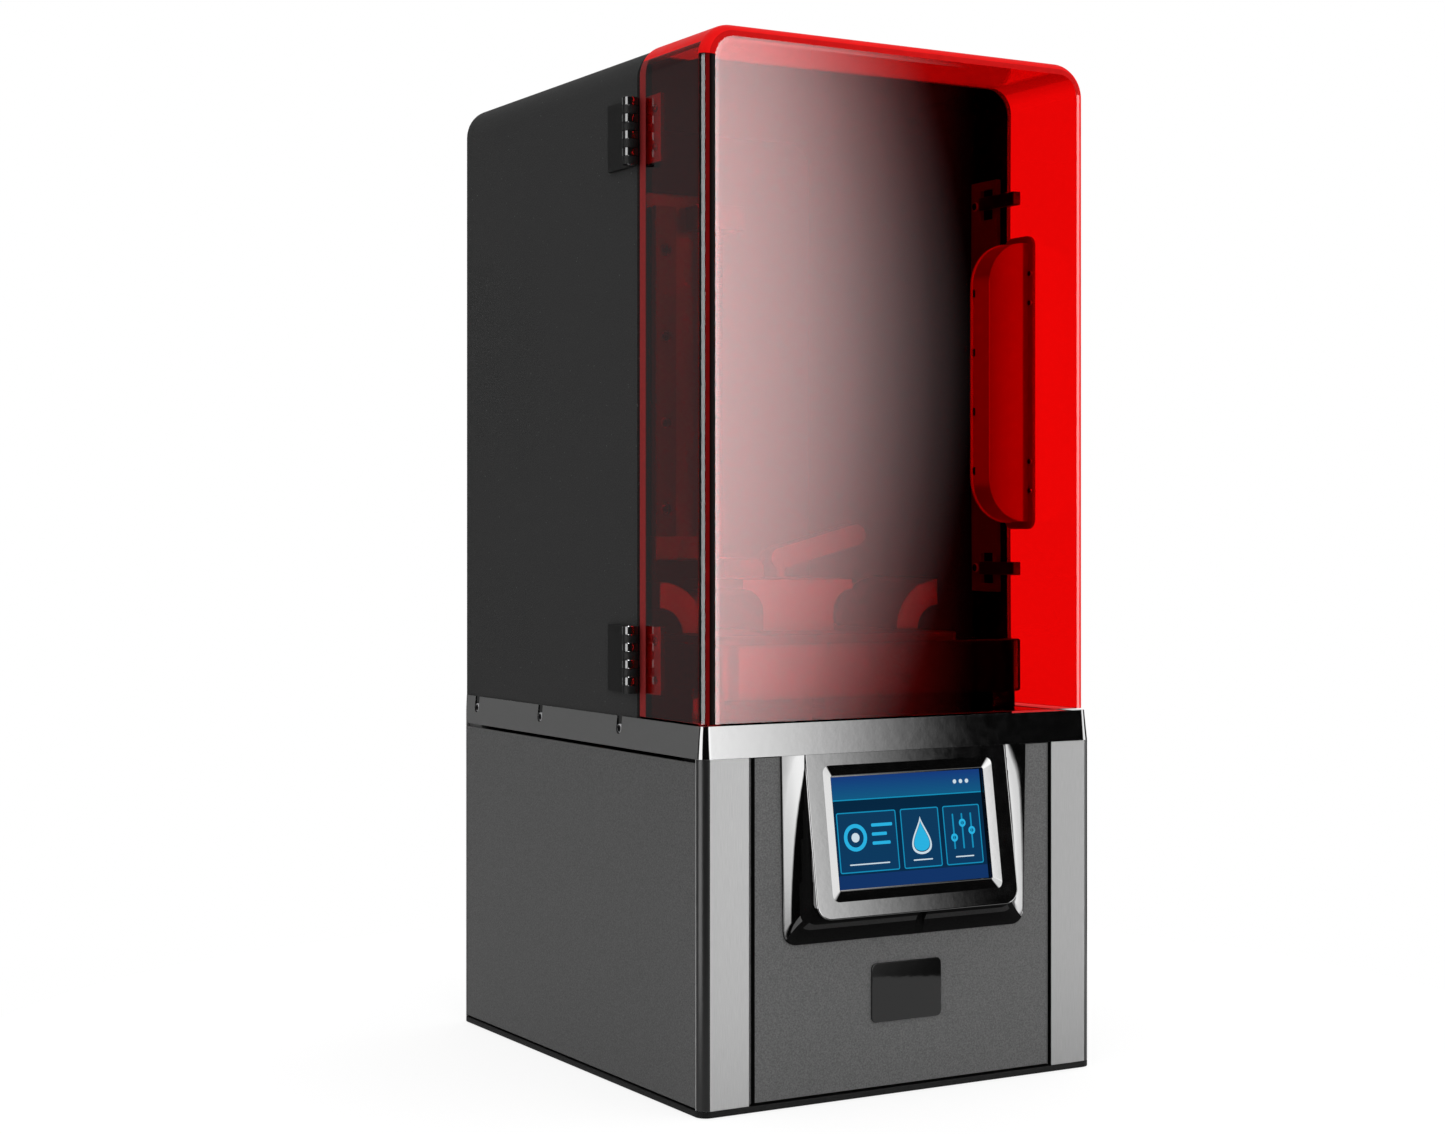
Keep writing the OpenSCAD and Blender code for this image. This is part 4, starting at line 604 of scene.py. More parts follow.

# %% [markdown]
# Which face has which finish follows from its place in the grid: a column is a place on the profile, from the inner
# wall round to the rim of the pane, and a row is a place on the arch, from the left foot over the top to the right.

# %% Door hood piece
# Numbers of the finishes; the edge tones among them are painted glow and shade
COATED, GLOWING, SAWN, POLISHED_GLOW, LID, BORDERED, SHADED, STRIP_SHADE, DUSK_SHADE, NIGHT_SHADE, BOWED = range(1, 12)
INNER, REAR_FACE, REAR_STRIP, OUTER, PANE_RIM = slice(0, 3), slice(4, 10), 10, slice(10, 13), 23
ROUND_ALL, ROUND_SIDE, ROUND_MID, ROUND_FRONT = slice(13, 23), slice(13, 18), slice(18, 20), slice(20, 23)
LEFT, PAST_LEFT, RIGHT, UP_TO_RIGHT = slice(0, 4), slice(4, None), slice(-4, None), slice(0, -4)
HINGE_SIDE, LEFT_TURN, OVER_TOP = slice(0, 7), slice(7, 16), slice(10, -10)
coat = np.zeros(skin.shape[:2], int)
coat[:, INNER] = COATED
coat[LEFT, ROUND_SIDE] = COATED
coat[LEFT, ROUND_MID] = DUSK_SHADE
coat[LEFT, ROUND_FRONT] = NIGHT_SHADE
coat[PAST_LEFT, ROUND_ALL] = GLOWING
coat[PAST_LEFT, ROUND_FRONT] = SHADED
coat[RIGHT, ROUND_ALL] = POLISHED_GLOW
coat[UP_TO_RIGHT, PANE_RIM] = BORDERED
coat[HINGE_SIDE, REAR_STRIP] = STRIP_SHADE
coat[LEFT_TURN, OUTER] = GLOWING
coat[:, REAR_FACE] = SAWN
coat[OVER_TOP, INNER] = LID
which = [*coat[keep], *[COATED] * len(jambs), BOWED, COATED, SAWN]
door_hood = piece_from("door_hood", hood, door_faces, "red_acrylic", "door", ["door_shell"], more=door_coats,
                       which=which)
print("door hood:", len(door_hood.data.polygons), "faces")

# %% [markdown]
# ## Screws
# Every screw here is a small turned part with a driver socket in its head. A turned part is a profile spun about an
# axis; the socket's rows are the same spin with the radius of a hexagon. One call makes all the screws of one
# place, because their places are just one more axis of the array.

# %% Screws
SIDES = 24


def screws(node, seats, axes, head_d, head_t, shank_d, length, key):
    """Screws whose heads sit on seats and look along axes. The profile runs from the tip along the shank, round
    the head, over its crown and into a socket with a width across flats of key. A hexagon's radius at an angle is
    half its flats over the cosine of the angle to the nearest flat."""
    angle = np.linspace(0.0, 2 * np.pi, SIDES, endpoint=False)
    r, s = head_d / 2, shank_d / 2
    crown = 0.3 * head_t
    profile = np.array([(s - 0.4, -length), (s, 0.4 - length), (s, 0.0), (r - 0.1, 0.0), (r, 0.1),
                        (r, head_t - crown), (r - 0.3 * crown, head_t - 0.3 * crown), (r - crown, head_t)])
    hexagon = key / 2 / np.cos((angle + np.pi / 6) % (np.pi / 3) - np.pi / 6)
    spun = profile[:, 0, None] * np.ones(SIDES)
    socket = np.stack([hexagon + 0.12, hexagon, hexagon])
    depth = np.array([head_t, head_t - 0.12, 0.35 * head_t])
    radius = np.concatenate([spun, socket])
    level = np.concatenate([profile[:, 1], depth])
    axes = np.broadcast_to(np.asarray(axes, float), (len(seats), 3))[:, None, :]
    side = np.cross(axes, (0.0, 0.0, 1.0))
    up = np.cross(side, axes)
    spoke = np.cos(angle)[None, :, None] * side + np.sin(angle)[None, :, None] * up
    spin = radius[None, :, :, None] * spoke[:, None] + level[None, :, None, None] * axes[:, None]
    points = np.asarray(seats, float)[:, None, None, :] + spin
    rows, count = len(level), len(seats)
    every = [face + n * rows * SIDES for n in range(count) for face in closed(rows, SIDES)]
    tops = np.zeros(rows - 1, int)
    tops[-3:] = 1
    coats = np.tile([*np.repeat(tops, SIDES), 0, 1], count)
    return piece_from(node + "_turned", points, every, slot_of[node], body_of[node], [node],
                      finish=own_finish.get(node), more=(finishes["dark_steel"],), which=coats)


HINGES, HANDLE_Z = (243.0, 540.0), 405.5
SHELL_Y = (FRONT + 97.0, FRONT + 200.0, REAR - 19.0)
shell_seats = np.array([(side * HALF, y, 203.0) for side in (-1, 1) for y in SHELL_Y])
striker_seats = [(HALF - 5.5, FRONT + 106.5, z) for z in (518.0, 293.0)]
hinge_zs = [z + dz for z in HINGES for dz in (-11.0, 11.0)]
body_seats = [(2.5 - HALF, FRONT + 103.0, z) for z in hinge_zs]
door_seats = [(7.5 - HALF, FRONT + 60.0, z) for z in hinge_zs]
handle_places = [(48.45, dz) for dz in (-65.49, -47.79, 47.79, 65.49)] + [(71.95, dz) for dz in (-83.0, 83.0)]
handle_seats = [(HALF - 7.0, FRONT + dy, HANDLE_Z + dz) for dy, dz in handle_places]
rail_seats = [(0.0, REAR - 31.0, 273.3 + 57.0 * n) for n in range(5)]
# Seats, direction, then head diameter and height, shank diameter, length and width of the socket across flats
turned = [
    screws("shell_screws", shell_seats, np.sign(shell_seats) * (1, 0, 0), 5.0, 1.5, 3.0, 8.0, 2.6),
    screws("striker_screws", striker_seats, (-1, 0, 0), 5.5, 1.2, 3.0, 4.2, 2.4),
    screws("body_leaf_screws", body_seats, (1, 0, 0), 6.5, 1.6, 4.0, 3.7, 2.8),
    screws("door_leaf_screws", door_seats, (1, 0, 0), 6.5, 1.6, 4.0, 5.0, 2.8),
    screws("handle_screws", handle_seats, (-1, 0, 0), 3.9, 1.0, 1.95, 5.0, 1.8),
    screws("rail_screws", rail_seats, (0, -1, 0), 7.0, 4.0, 4.0, 7.0, 3.4),
]
print("turned screws:", sum(len(piece.data.polygons) for piece in turned), "faces")

# %% [markdown]
# The lead screw is a rod with a trapezoid thread of four starts, so its radius is a trapezoid wave of the height
# and the turning angle together. Its ends are plain, which a factor along the height takes care of.

# %% Lead screw thread
LEAD, STARTS, ROD_R, THREAD_MM, PLAIN_BELOW, PLAIN_ABOVE = 8.0, 4, 4.0, 0.75, 212.0, 515.0
ROD_X, ROD_Y, ROD_LOW, ROD_HIGH, CHAMFER = 34.0, REAR - 38.0, 164.1, 532.1, 0.5
turn_at = np.linspace(0.0, 2 * np.pi, SIDES, endpoint=False)
level = np.concatenate([[ROD_LOW, ROD_LOW + CHAMFER], np.arange(211.0, 515.6, 0.4), [ROD_HIGH - CHAMFER, ROD_HIGH]])
phase = (level[:, None] / LEAD - turn_at[None, :] / (2 * np.pi)) * STARTS
wave = np.clip(2.0 * np.abs(2.0 * (phase - np.floor(phase)) - 1.0) - 0.5, 0.0, 1.0)
threaded = ((level > PLAIN_BELOW) & (level < PLAIN_ABOVE))[:, None]
tips = np.isin(level, (ROD_LOW, ROD_HIGH))[:, None]
radius = ROD_R - THREAD_MM * wave * threaded - CHAMFER * tips
rod = np.stack([ROD_X + radius * np.cos(turn_at), ROD_Y + radius * np.sin(turn_at),
                np.broadcast_to(level[:, None], radius.shape)], axis=-1)
lead_screw = piece_from("lead_screw_thread", rod, closed(len(level), SIDES), "bright_steel", "screw", ["lead_screw"],
                        sharp=50.0)
print("lead screw:", len(lead_screw.data.polygons), "faces")

# %% [markdown]
# ## Screen housing
# The touch screen sits in a wedge of gloss black plastic: rounded lower corners, a flat face that looks a little
# upwards, and a shallow sloped border that falls to the glass. Its section is a stack of closed outlines, one
# above the other, so it is a grid of outlines times points round them. The slope of the border is only about
# twelve degrees; that is what makes its left and right sides flash white and leaves its top and bottom black.

# %% Screen housing
# Top and foot of the wedge, where its face starts at the top, how far its foot comes forward, and how far the
# middle of the glass lies above the middle of the face
DECK_Z, SCREEN_Z, SCREEN_TOP_Y, SCREEN_OUT, GLASS_RISE = 192.5, 103.0, FRONT - 1.5, 14.0, 1.5
SCREEN_TILT = math.atan(SCREEN_OUT / (DECK_Z - SCREEN_Z))
FACE_UP = np.array([0.0, math.sin(SCREEN_TILT), math.cos(SCREEN_TILT)])
FACE_OUT = np.array([0.0, -math.cos(SCREEN_TILT), math.sin(SCREEN_TILT)])
FACE_MID = np.array([0.0, SCREEN_TOP_Y - SCREEN_OUT / 2, (DECK_Z + SCREEN_Z) / 2]) + GLASS_RISE * FACE_UP


def on_face(across, up, out):
    """Point of the screen's tilted face: its middle, plus across to the right, up along it and out of it."""
    across, up, out = np.broadcast_arrays(across, up, out)
    to_right = across[..., None] * np.array([1.0, 0.0, 0.0])
    return FACE_MID + to_right + up[..., None] * FACE_UP + out[..., None] * FACE_OUT


def outline(half, low, high, r_low, r_high, steps=8):
    """Closed rounded rectangle, counter-clockwise from its lower left corner: a quarter circle at each corner."""
    bend = np.linspace(0.0, np.pi / 2, steps)
    corners = [(r_low - half, low + r_low, r_low, np.pi), (half - r_low, low + r_low, r_low, 1.5 * np.pi),
               (half - r_high, high - r_high, r_high, 0.0), (r_high - half, high - r_high, r_high, 0.5 * np.pi)]
    return np.concatenate([np.stack([x + r * np.cos(start + bend), z + r * np.sin(start + bend)], axis=1)
                           for x, z, r, start in corners])


def face_y(z):
    """Depth of the tilted face at a height: it comes forward evenly from the deck down to its foot."""
    return SCREEN_TOP_Y - SCREEN_OUT * (DECK_Z - z) / (DECK_Z - SCREEN_Z)


def upright(shape, y):
    """An outline in X and Z set up at a depth, which may differ from point to point."""
    return np.stack([shape[:, 0], np.broadcast_to(y, len(shape)), shape[:, 1]], axis=1)


WEDGE_HALF, WEDGE_R, TOP_CORNER, ROUND = 68.0, 9.0, 0.3, 0.9
block = outline(half=57.85, low=113.15, high=187.35, r_low=1.0, r_high=1.0)
wedge = outline(WEDGE_HALF, SCREEN_Z, DECK_Z, WEDGE_R, TOP_CORNER)
stack = [upright(block, FRONT + 7.0), upright(block, FRONT), upright(wedge, FRONT)]
for lean in np.linspace(0.0, np.pi / 2, 5):
    inset = ROUND * (1 - math.cos(lean))
    ring = outline(WEDGE_HALF - inset, SCREEN_Z + inset, DECK_Z, WEDGE_R - inset, TOP_CORNER)
    stack.append(upright(ring, face_y(ring[:, 1]) + ROUND * (1 - math.sin(lean))))
# The sloped border, from the face down to the glass, and the well behind it
for half, rise, r, out in ((57.4, 37.4, 4.4, 0.0), (57.15, 37.15, 4.2, -0.1), (51.8, 31.8, 1.4, -1.35),
                           (51.5, 31.5, 1.2, -1.6), (51.4, 31.4, 1.2, -6.4)):
    ring = outline(half, -rise, rise, r, r)
    stack.append(on_face(ring[:, 0], ring[:, 1], out))
housing = np.stack(stack)
rows, cols = housing.shape[:2]
piece_from("screen_wedge", housing, closed(rows, cols), slot_of["screen_housing"], "frame", ["screen_housing"],
           finish=finishes["gloss_black"], sharp=10.0)
print("screen housing:", rows, "outlines of", cols, "points")

# %% [markdown]
# Round the wedge the panel carries a gloss black cove: a hollow sweep that starts flat on the panel and ends
# upright against the wedge. It hangs from the deck like a U, so one hollow section is carried down the left side,
# along the foot and up the right side, and its height grows as the wedge comes forward. The cable slot in its
# foot is two stations where the hollow is left flat.

# %% Screen cove shape
COVE_SHARE, COVE_LIFT = 0.72, 1.5
SIDE_STEPS, TURN_STEPS, SWEEP_STEPS = 12, 7, 12
SLOT_X = (4.6, 10.6)
side = np.linspace(0.0, 1.0, SIDE_STEPS)[:, None]
bend = np.linspace(0.0, np.pi / 2, TURN_STEPS + 2)[1:-1, None]
# Places along the foot as shares of its half length; those of the slot are lengths, each twice for an upright side
marks = np.array([-1.0, -0.5, 0.0, 0.0, 0.0, 0.0, 0.5, 1.0])
slot_marks = np.array([np.nan, np.nan, SLOT_X[0], SLOT_X[0], SLOT_X[1], SLOT_X[1], np.nan, np.nan])


def hanging_u(half_top, half_low, low, r):
    """A U that hangs from the deck: left side down, quarter turn, along the foot over the marks, and up again."""
    down = np.array([[-half_top, DECK_Z]]) * (1 - side) + np.array([[-half_low, low + r]]) * side
    turn = np.concatenate([r - half_low - r * np.cos(bend), low + r - r * np.sin(bend)], axis=1)
    left = np.concatenate([down, turn])
    foot_x = np.where(np.isnan(slot_marks), marks * (half_low - r), slot_marks)
    foot = np.stack([foot_x, np.full(len(foot_x), low)], axis=1)
    return np.concatenate([left, foot, left[::-1] * (-1.0, 1.0)])


outer_u = hanging_u(half_top=83.0, half_low=81.35, low=88.7, r=8.0)
inner_u = hanging_u(half_top=68.15, half_low=68.15, low=102.85, r=9.15)
stations = len(outer_u)
sweep = np.linspace(0.0, np.pi / 2, SWEEP_STEPS)
across = np.concatenate([[0.0, 0.0, 0.02, 0.05], 0.05 + 0.95 * np.sin(sweep), [1.0]])
rise = np.concatenate([[0.0, 0.0, 0.0, 0.0], 1 - np.cos(sweep), [0.0]])
base = FRONT - np.concatenate([[0.0, 1.2], np.full(SWEEP_STEPS + 2, COVE_LIFT), [0.0]])
height = COVE_SHARE * (SCREEN_TOP_Y - face_y(inner_u[:, 1]))
in_slot = SIDE_STEPS + TURN_STEPS + np.array([3, 4])
height[in_slot] = 0.0
spot = outer_u[:, None, :] * (1 - across)[None, :, None] + inner_u[:, None, :] * across[None, :, None]
cove = np.stack([spot[..., 0], base[None, :] - height[:, None] * rise[None, :], spot[..., 1]], axis=-1)
print("screen cove:", stations, "stations of", len(across), "points")

# %% [markdown]
# The cove is polished where it is shallow. Where it is steep, and all along its foot, the plastic is textured and
# stays dark, with a lighter band along the foot that is a painted sheen. One finish could not show both, so the
# slope of each face and its place in the grid choose between them.

# %% Screen cove piece
STEEP = 24.0
# Dead black: painted shade for hollows, grooves and the insides of sheet metal
dead_black_shade = grained("matt_black_painted_shade", "#060606", "#0a0a0a", 0.8, (0.8, 0.95), 0.03, Specular_IOR_Level=0.03)
# Black with a fine grain and no mirror image
foot_texture = grained("textured_black_abs", "#070707", "#0f0f0f", 0.7, (0.5, 0.65), 0.02, Specular_IOR_Level=0.01)
# Painted sheen: the same grain, lightened to a dark grey
foot_painted_sheen = grained("black_abs_painted_sheen", "#262626", "#323232", 0.7, (0.5, 0.65), 0.02, Specular_IOR_Level=0.01)
TEXTURED, SHADE_LINED, PAINTED_SHEEN = 1, 2, 3
FOOT_RUN, BAND_RUN, BAND_COLS = slice(14, -14), slice(16, -16), slice(8, 10)
cove_coat = np.zeros((stations - 1, len(across)), int)
step = np.linalg.norm(np.diff(spot, axis=1), axis=-1)
steep = np.degrees(np.arctan2(height[:, None] * np.diff(rise), step)) > STEEP
cove_coat[:, :-1] = (steep[:-1] | steep[1:]) * TEXTURED
cove_coat[FOOT_RUN] = TEXTURED
# A band of painted sheen along the foot
cove_coat[BAND_RUN, BAND_COLS] = PAINTED_SHEEN
# The cable slot is dead black: painted shade
cove_coat[in_slot[0] - 1:in_slot[1] + 1, 3:] = SHADE_LINED
piece_from("screen_cove", cove, closed(stations, len(across)), slot_of["screen_surround"], "frame",
           ["screen_surround"], finish=cove_black, sharp=40.0, more=(foot_texture, dead_black_shade, foot_painted_sheen),
           which=[*cove_coat.reshape(-1), 0, 0])
print("screen cove: faces with each finish", np.bincount(cove_coat.reshape(-1)).tolist())

# %% [markdown]
# ## The lit screen
# The screen shows a plain menu of its own: a bar, three tiles and a few signs. They are lit areas, so each is a
# thin plate on the glass that gives its own light. A plate is a flat outline raised by a tenth of a millimetre,
# and a frame or a ring is the strip between two outlines with the same number of points. The colour of a lit area
# runs a little from its foot to its top, broken by the rows of pixels.

# %% Lit finishes
# Depth of the glass in the wedge, thickness of a plate, distance of the rows, and the heights that the tones span
GLASS, PLATE_T, PIXEL_ROWS, LIT_LOW, LIT_HIGH = -4.15, 0.1, 0.8, 118.0, 180.0


def lit(name, low, high):
    """A lit area: light only, whose colour goes from low to high up the screen and dims a little between rows of
    pixels. The rows are drawn 0.8 mm apart, coarser than real ones, so that they show."""
    material, tree, shader = blank(name, Base_Color=rgba("#020304"), Roughness=0.3, Specular_IOR_Level=0.0,
                                   Emission_Strength=1.0)
    place = add(tree, "TexCoord").outputs["Object"]
    z = add(tree, "SeparateXYZ", {0: place}).outputs["Z"]
    up = add(tree, "MapRange", {"Value": z, "From Min": LIT_LOW * MM, "From Max": LIT_HIGH * MM}).outputs[0]
    tone = add(tree, "Mix", {0: up, 6: rgba(low), 7: rgba(high)}, data_type="RGBA").outputs[2]
    # A wave texture of scale 1 repeats 20 / (2 pi) times in a metre
    per_metre = 1 / (PIXEL_ROWS * MM)
    rows = add(tree, "TexWave", {"Vector": place, "Scale": per_metre / 20.0 * 2 * math.pi}, bands_direction="Z")
    dim = add(tree, "MapRange", {"Value": rows.outputs["Fac"], "To Min": 0.92, "To Max": 1.0}).outputs[0]
    glow = add(tree, "Mix", {0: 1.0, 6: tone, 7: dim}, data_type="RGBA", blend_type="MULTIPLY").outputs[2]
    tree.links.new(glow, shader.inputs["Emission Color"])
    return material


# Even light without shade, in the blues of a screen
back_light = lit("lit_screen_ground", "#0a2c4e", "#03253c")
bar_light = lit("lit_bar", "#009c99", "#16377c")
foot_light = lit("lit_foot", "#123468", "#123468")
tile_light = lit("lit_tile", "#0c3a62", "#0e3a5a")
frame_light = lit("lit_frame", "#1790bc", "#1790bc")
sign_light = lit("lit_sign", "#2bb4e4", "#2bb4e4")
pale_light = lit("lit_line", "#cfe0ea", "#cfe0ea")
nodes["display_panel"].data.materials[0] = back_light
print("screen ground:", back_light.name)

# %% [markdown]
# With the light ready, the menu is only a list of outlines: rounded boxes, circles and one drop, each with its own
# light. The outlines are measured in millimetres from the middle of the glass.

# %% Lit plates
def plate(name, edge, low, light, hole=None):
    """A plate of 0.1 mm on the glass, raised by low: outline up, top, and the outline down again. With a hole,
    the top and the underside are strips between the two outlines."""
    foot, top, count = GLASS + low, GLASS + low + PLATE_T, len(edge)
    loops = [edge, edge] if hole is None else [edge, edge, hole, hole]
    points = np.stack([on_face(loop[:, 0], loop[:, 1], out) for loop, out in zip(loops, (foot, top, top, foot))])
    if hole is None:
        faces = closed(2, count)
    else:
        here, beside = np.arange(count), np.roll(np.arange(count), -1)
        underside = np.stack([here, beside, beside + 3 * count, here + 3 * count], axis=1)
        faces = [*cells(4, count, ring=True).reshape(-1, 4), *underside]
    return piece_from(name, points, faces, "screen_glass", "frame", finish=light)


def box(s0, t0, s1, t1, r=0.0):
    """Rounded rectangle from its lower left to its upper right corner."""
    shape = outline((s1 - s0) / 2, t0, t1, max(r, 0.05), max(r, 0.05), steps=4)
    return shape + np.array([(s0 + s1) / 2, 0.0])


def disc(s, t, r, steps=32):
    """Circle of points round a middle."""
    angle = np.linspace(0.0, 2 * np.pi, steps, endpoint=False)
    return np.stack([s + r * np.cos(angle), t + r * np.sin(angle)], axis=1)


def drop(s, t, r):
    """A drop: across is r sin(a) sin(a/2) squared, up is 1.3 r cos(a), so it is pointed at the top."""
    angle = np.linspace(0.02, 2 * np.pi - 0.02, 40)
    return np.stack([s + 1.25 * r * np.sin(angle) * np.sin(angle / 2) ** 2, t + 1.3 * r * np.cos(angle)], axis=1)


menu = [plate("menu_bar", box(-50.8, 18.4, 50.8, 30.9), 0.05, bar_light),
        plate("menu_bar_line", box(-50.8, 17.6, 50.8, 18.3), 0.05, frame_light),
        plate("menu_foot", box(-50.8, -30.9, 50.8, -23.4), 0.05, foot_light)]
for n, (s0, s1) in enumerate(((-48.5, -9.0), (-6.0, 20.0), (23.0, 48.5))):
    menu.append(plate(f"menu_tile_{n}", box(s0 + 0.7, -21.6, s1 - 0.7, 10.4, 0.6), 0.05, tile_light))
    menu.append(plate(f"menu_frame_{n}", box(s0, -22.3, s1, 11.1, 1.2), 0.05, frame_light,
                      hole=box(s0 + 0.65, -21.65, s1 - 0.65, 10.45, 0.6)))
    menu.append(plate(f"menu_rule_{n}", box(s0 + 6.5, -18.2, s1 - 6.5, -17.5, 0.2), 0.2, pale_light))
menu += [plate("menu_dial", disc(-37.0, -3.0, 7.6), 0.2, sign_light, hole=disc(-37.0, -3.0, 5.4)),
         plate("menu_dial_hub", disc(-37.0, -3.0, 2.6), 0.2, pale_light)]
for n, length in enumerate((14.0, 10.0, 12.0)):
    bar = box(-26.0, 2.4 - 5.0 * n, length - 26.0, 4.2 - 5.0 * n, 0.6)
    menu.append(plate(f"menu_list_{n}", bar, 0.2, sign_light))
menu += [plate("menu_drop_rim", drop(7.0, -4.2, 8.2), 0.2, pale_light, hole=drop(7.0, -4.6, 6.9)),
         plate("menu_drop", drop(7.0, -4.7, 6.4), 0.2, sign_light)]
for n, (s, t) in enumerate(((29.5, -7.0), (35.7, 1.0), (41.9, -3.5))):
    menu.append(plate(f"menu_slide_{n}", box(s - 0.5, -13.5, s + 0.5, 6.5, 0.4), 0.2, frame_light))
    menu.append(plate(f"menu_knob_{n}", disc(s, t, 2.3), 0.35, sign_light, hole=disc(s, t, 1.1)))
for n in range(3):
    menu.append(plate(f"menu_dot_{n}", disc(33.0 + 4.2 * n, 24.6, 1.2, 20), 0.2, pale_light))
print("lit plates:", len(menu))

# %% [markdown]
# ## Finishes within one piece
# Some pieces have two finishes. The shell is speckled outside and dead black inside, which is painted shade, the
# deck is polished in front and satin at its sides with pale painted highlights on its edges, the door's hinge
# knuckles are polished, and the grooves beside the front panel are painted black inside as shade. The faces that
# change are found from where they are and which way they look.

# %% Second finishes
def refinish(node, finish, chosen):
    """Gives one more finish to the faces of an eased copy for which chosen(middles in mm, normals) is true."""
    mesh = skins[node].data
    middle, normal = np.empty(len(mesh.polygons) * 3), np.empty(len(mesh.polygons) * 3)
    held = np.empty(len(mesh.polygons), np.int32)
    mesh.polygons.foreach_get("center", middle)
    mesh.polygons.foreach_get("normal", normal)
    mesh.polygons.foreach_get("material_index", held)
    picked = chosen(middle.reshape(-1, 3) / MM, normal.reshape(-1, 3))
    mesh.polygons.foreach_set("material_index", np.where(picked, len(mesh.materials), held).astype(np.int32))
    mesh.materials.append(finish)
    print(node, "second finish on", int(picked.sum()), "of", len(picked), "faces")


def edge_finish(node):
    """Gives the rounded edges of an eased copy the finish that was added to it last."""
    skins[node].modifiers["edges"].material = len(skins[node].data.materials) - 1


# A plain mid grey, hardly shiny
satin = grained("satin_grey_lacquer", "#525252", "#5c5c5c", 0.6, (0.5, 0.65), 0.02, Specular_IOR_Level=0.12)
# Painted highlight: a pale line along an edge
edge_highlight = grained("painted_highlight_edge", "#a8a8a8", "#c4c4c4", 1.5, (0.35, 0.5), 0.0, Specular_IOR_Level=0.3)
# Painted light: pale drawn metal on the leaves' sides, as lit from the side, which shows red through the door
leaf_side_painted_light = grained("leaf_steel_painted_light", "#848484", "#909090", 0.5, (0.4, 0.5), 0.004, LINES_Z)
# Painted shade: the posts' rounds are dark, with a narrow sheen along the round
post_round_painted_shade = grained("anodised_aluminium_round_painted_shade", "#181818", "#1e1e1e", 0.25, (0.28, 0.34), 0.002, LINES_Z,
                     Specular_IOR_Level=0.2)
# Black with a sharp bright line
polished = grained("polished_black_steel", "#0a0a0a", "#0e0e0e", 0.8, (0.1, 0.16), 0.002)
# Thickness of a post's outer face, and how far from the middle the grooves lie at least
POST_FACE_T, GROOVE_SIDE = 6.6, 60.0
# Dead black as painted shade: inside the shell, on the rear cover's front face, and in the grooves by the posts and
# panel
refinish("upper_shell", dead_black_shade, lambda p, n: (n[:, 0] * p[:, 0] < -1.0) | (n[:, 2] < -0.5))
refinish("rear_cover", dead_black_shade, lambda p, n: n[:, 1] < -0.5)
refinish("deck", satin, lambda p, n: (abs(n[:, 0]) > 0.97) & (abs(p[:, 0]) > HALF_W - 3.5))
# The deck's rounded edges get the painted highlight
skins["deck"].data.materials.append(edge_highlight)
edge_finish("deck")
# The door leaves' sides inside the door get painted light
for leaf in ("upper_door_leaf", "lower_door_leaf"):
    refinish(leaf, polished, lambda p, n: np.hypot(p[:, 0] + HALF + 5.2, p[:, 1] - FRONT - 76.5) < 5.0)
    refinish(leaf, leaf_side_painted_light, lambda p, n: (n[:, 0] < -0.9) & (p[:, 0] > 4.0 - HALF))
# The posts' rounds get painted shade
for post in ("left_corner_post", "right_corner_post"):
    refinish(post, post_round_painted_shade, lambda p, n: (n[:, 1] < -0.15) & (abs(n[:, 0]) > 0.15))
    refinish(post, dead_black_shade, lambda p, n: (p[:, 1] > FRONT + POST_FACE_T) | (n[:, 0] * p[:, 0] < -GROOVE_SIDE))
refinish("front_panel", dead_black_shade, lambda p, n: abs(n[:, 0] * p[:, 0]) > GROOVE_SIDE)
# The front panel's rounded edges take the dead black too, as painted shade in the grooves
edge_finish("front_panel")

# %% [markdown]
# The cup of the handle ends in a moulded lip, a half round bead that runs round its rear edge and stiffens it. The
# cup's outline is a path of two quarter circles, and the bead's section, half an ellipse, is carried along it.

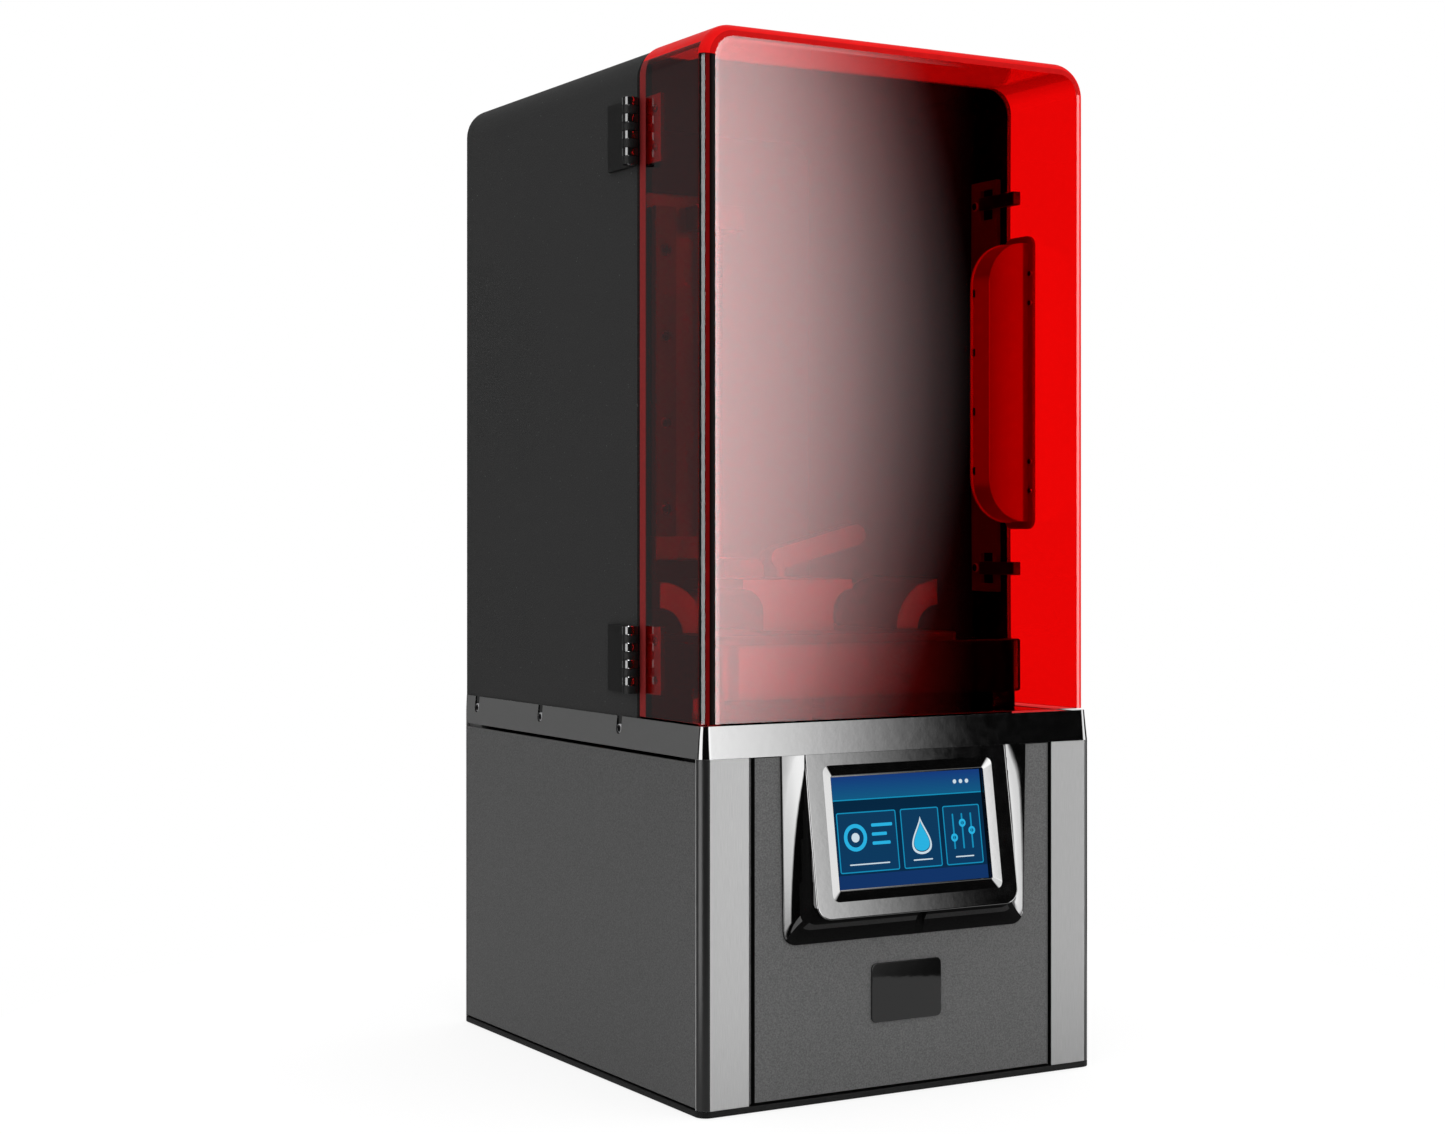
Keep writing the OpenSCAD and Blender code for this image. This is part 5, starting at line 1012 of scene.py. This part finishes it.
# %% Handle lip
CUP_X, CUP_LOW, CUP_HIGH, CUP_R = HALF - 36.0, 321.5, 489.5, 26.0
LIP_Y, LIP_W, LIP_H, LIP_SINK, LIP_TAIL = FRONT + 68.4, 1.2, 0.75, 0.05, 2.9
bend = np.linspace(0.0, np.pi / 2, 12)
low_turn = np.stack([-np.sin(bend), -np.cos(bend)], axis=1)
normals = np.concatenate([low_turn[:1], low_turn, low_turn[::-1] * (1.0, -1.0), low_turn[:1] * (1.0, -1.0)])
turn_z = np.repeat([CUP_LOW + CUP_R, CUP_HIGH - CUP_R], len(bend) + 1)
centres = np.stack([np.full(len(turn_z), CUP_X + CUP_R), turn_z], axis=1)
path = centres + CUP_R * normals
path[[0, -1], 0] += LIP_TAIL
bow = np.linspace(0.0, np.pi, 9)
rise = LIP_H * np.sin(bow) - LIP_SINK
spot = path[:, None, :] + rise[None, :, None] * normals[:, None, :]
lip_y = np.broadcast_to(LIP_Y + LIP_W * np.cos(bow), spot.shape[:2])
lip = np.stack([spot[..., 0], lip_y, spot[..., 1]], axis=-1)
rows, cols = lip.shape[:2]
# Painted light: a brighter red line stands in for the light that the thin bead lets through
lip_painted_glow = grained("red_moulded_polycarbonate_lip", "#d81616", "#e61a1a", 9.0, (0.3, 0.4), 0.0, Specular_IOR_Level=0.2)
piece_from("handle_lip", lip, closed(rows, cols), "red_cup", "door", finish=lip_painted_glow, sharp=50.0)
print("handle lip:", rows, "stations of", cols, "points")

# %% [markdown]
# Beside the lip sit four small stops, where the cup meets the shell's lining when the door shuts. Each is a little
# pad with rounded corners: an outline stacked twice, smaller at the top.

# %% Handle stops
STOP_Y, STOP_PITCH, STOPS = FRONT + 65.6, 35.7, 4
pads, pad_faces = [], []
for n in range(STOPS):
    z = HANDLE_Z + STOP_PITCH * (n - (STOPS - 1) / 2)
    foot_ring = outline(0.9, z - 2.4, z + 2.4, 0.5, 0.5, steps=4)
    top_ring = outline(0.7, z - 2.2, z + 2.2, 0.4, 0.4, steps=4)
    levels = [(foot_ring, CUP_X + 0.02), (foot_ring, CUP_X - 0.4), (top_ring, CUP_X - 0.7)]
    pads.append(np.stack([np.stack([np.full(len(ring), x), ring[:, 0] + STOP_Y, ring[:, 1]], axis=1)
                          for ring, x in levels]))
    first = n * len(levels) * len(foot_ring)
    pad_faces += [face + first for face in closed(len(levels), len(foot_ring))]
piece_from("handle_stops", np.concatenate(pads), pad_faces, "black_plastic", "door")
print("handle stops:", len(pads))
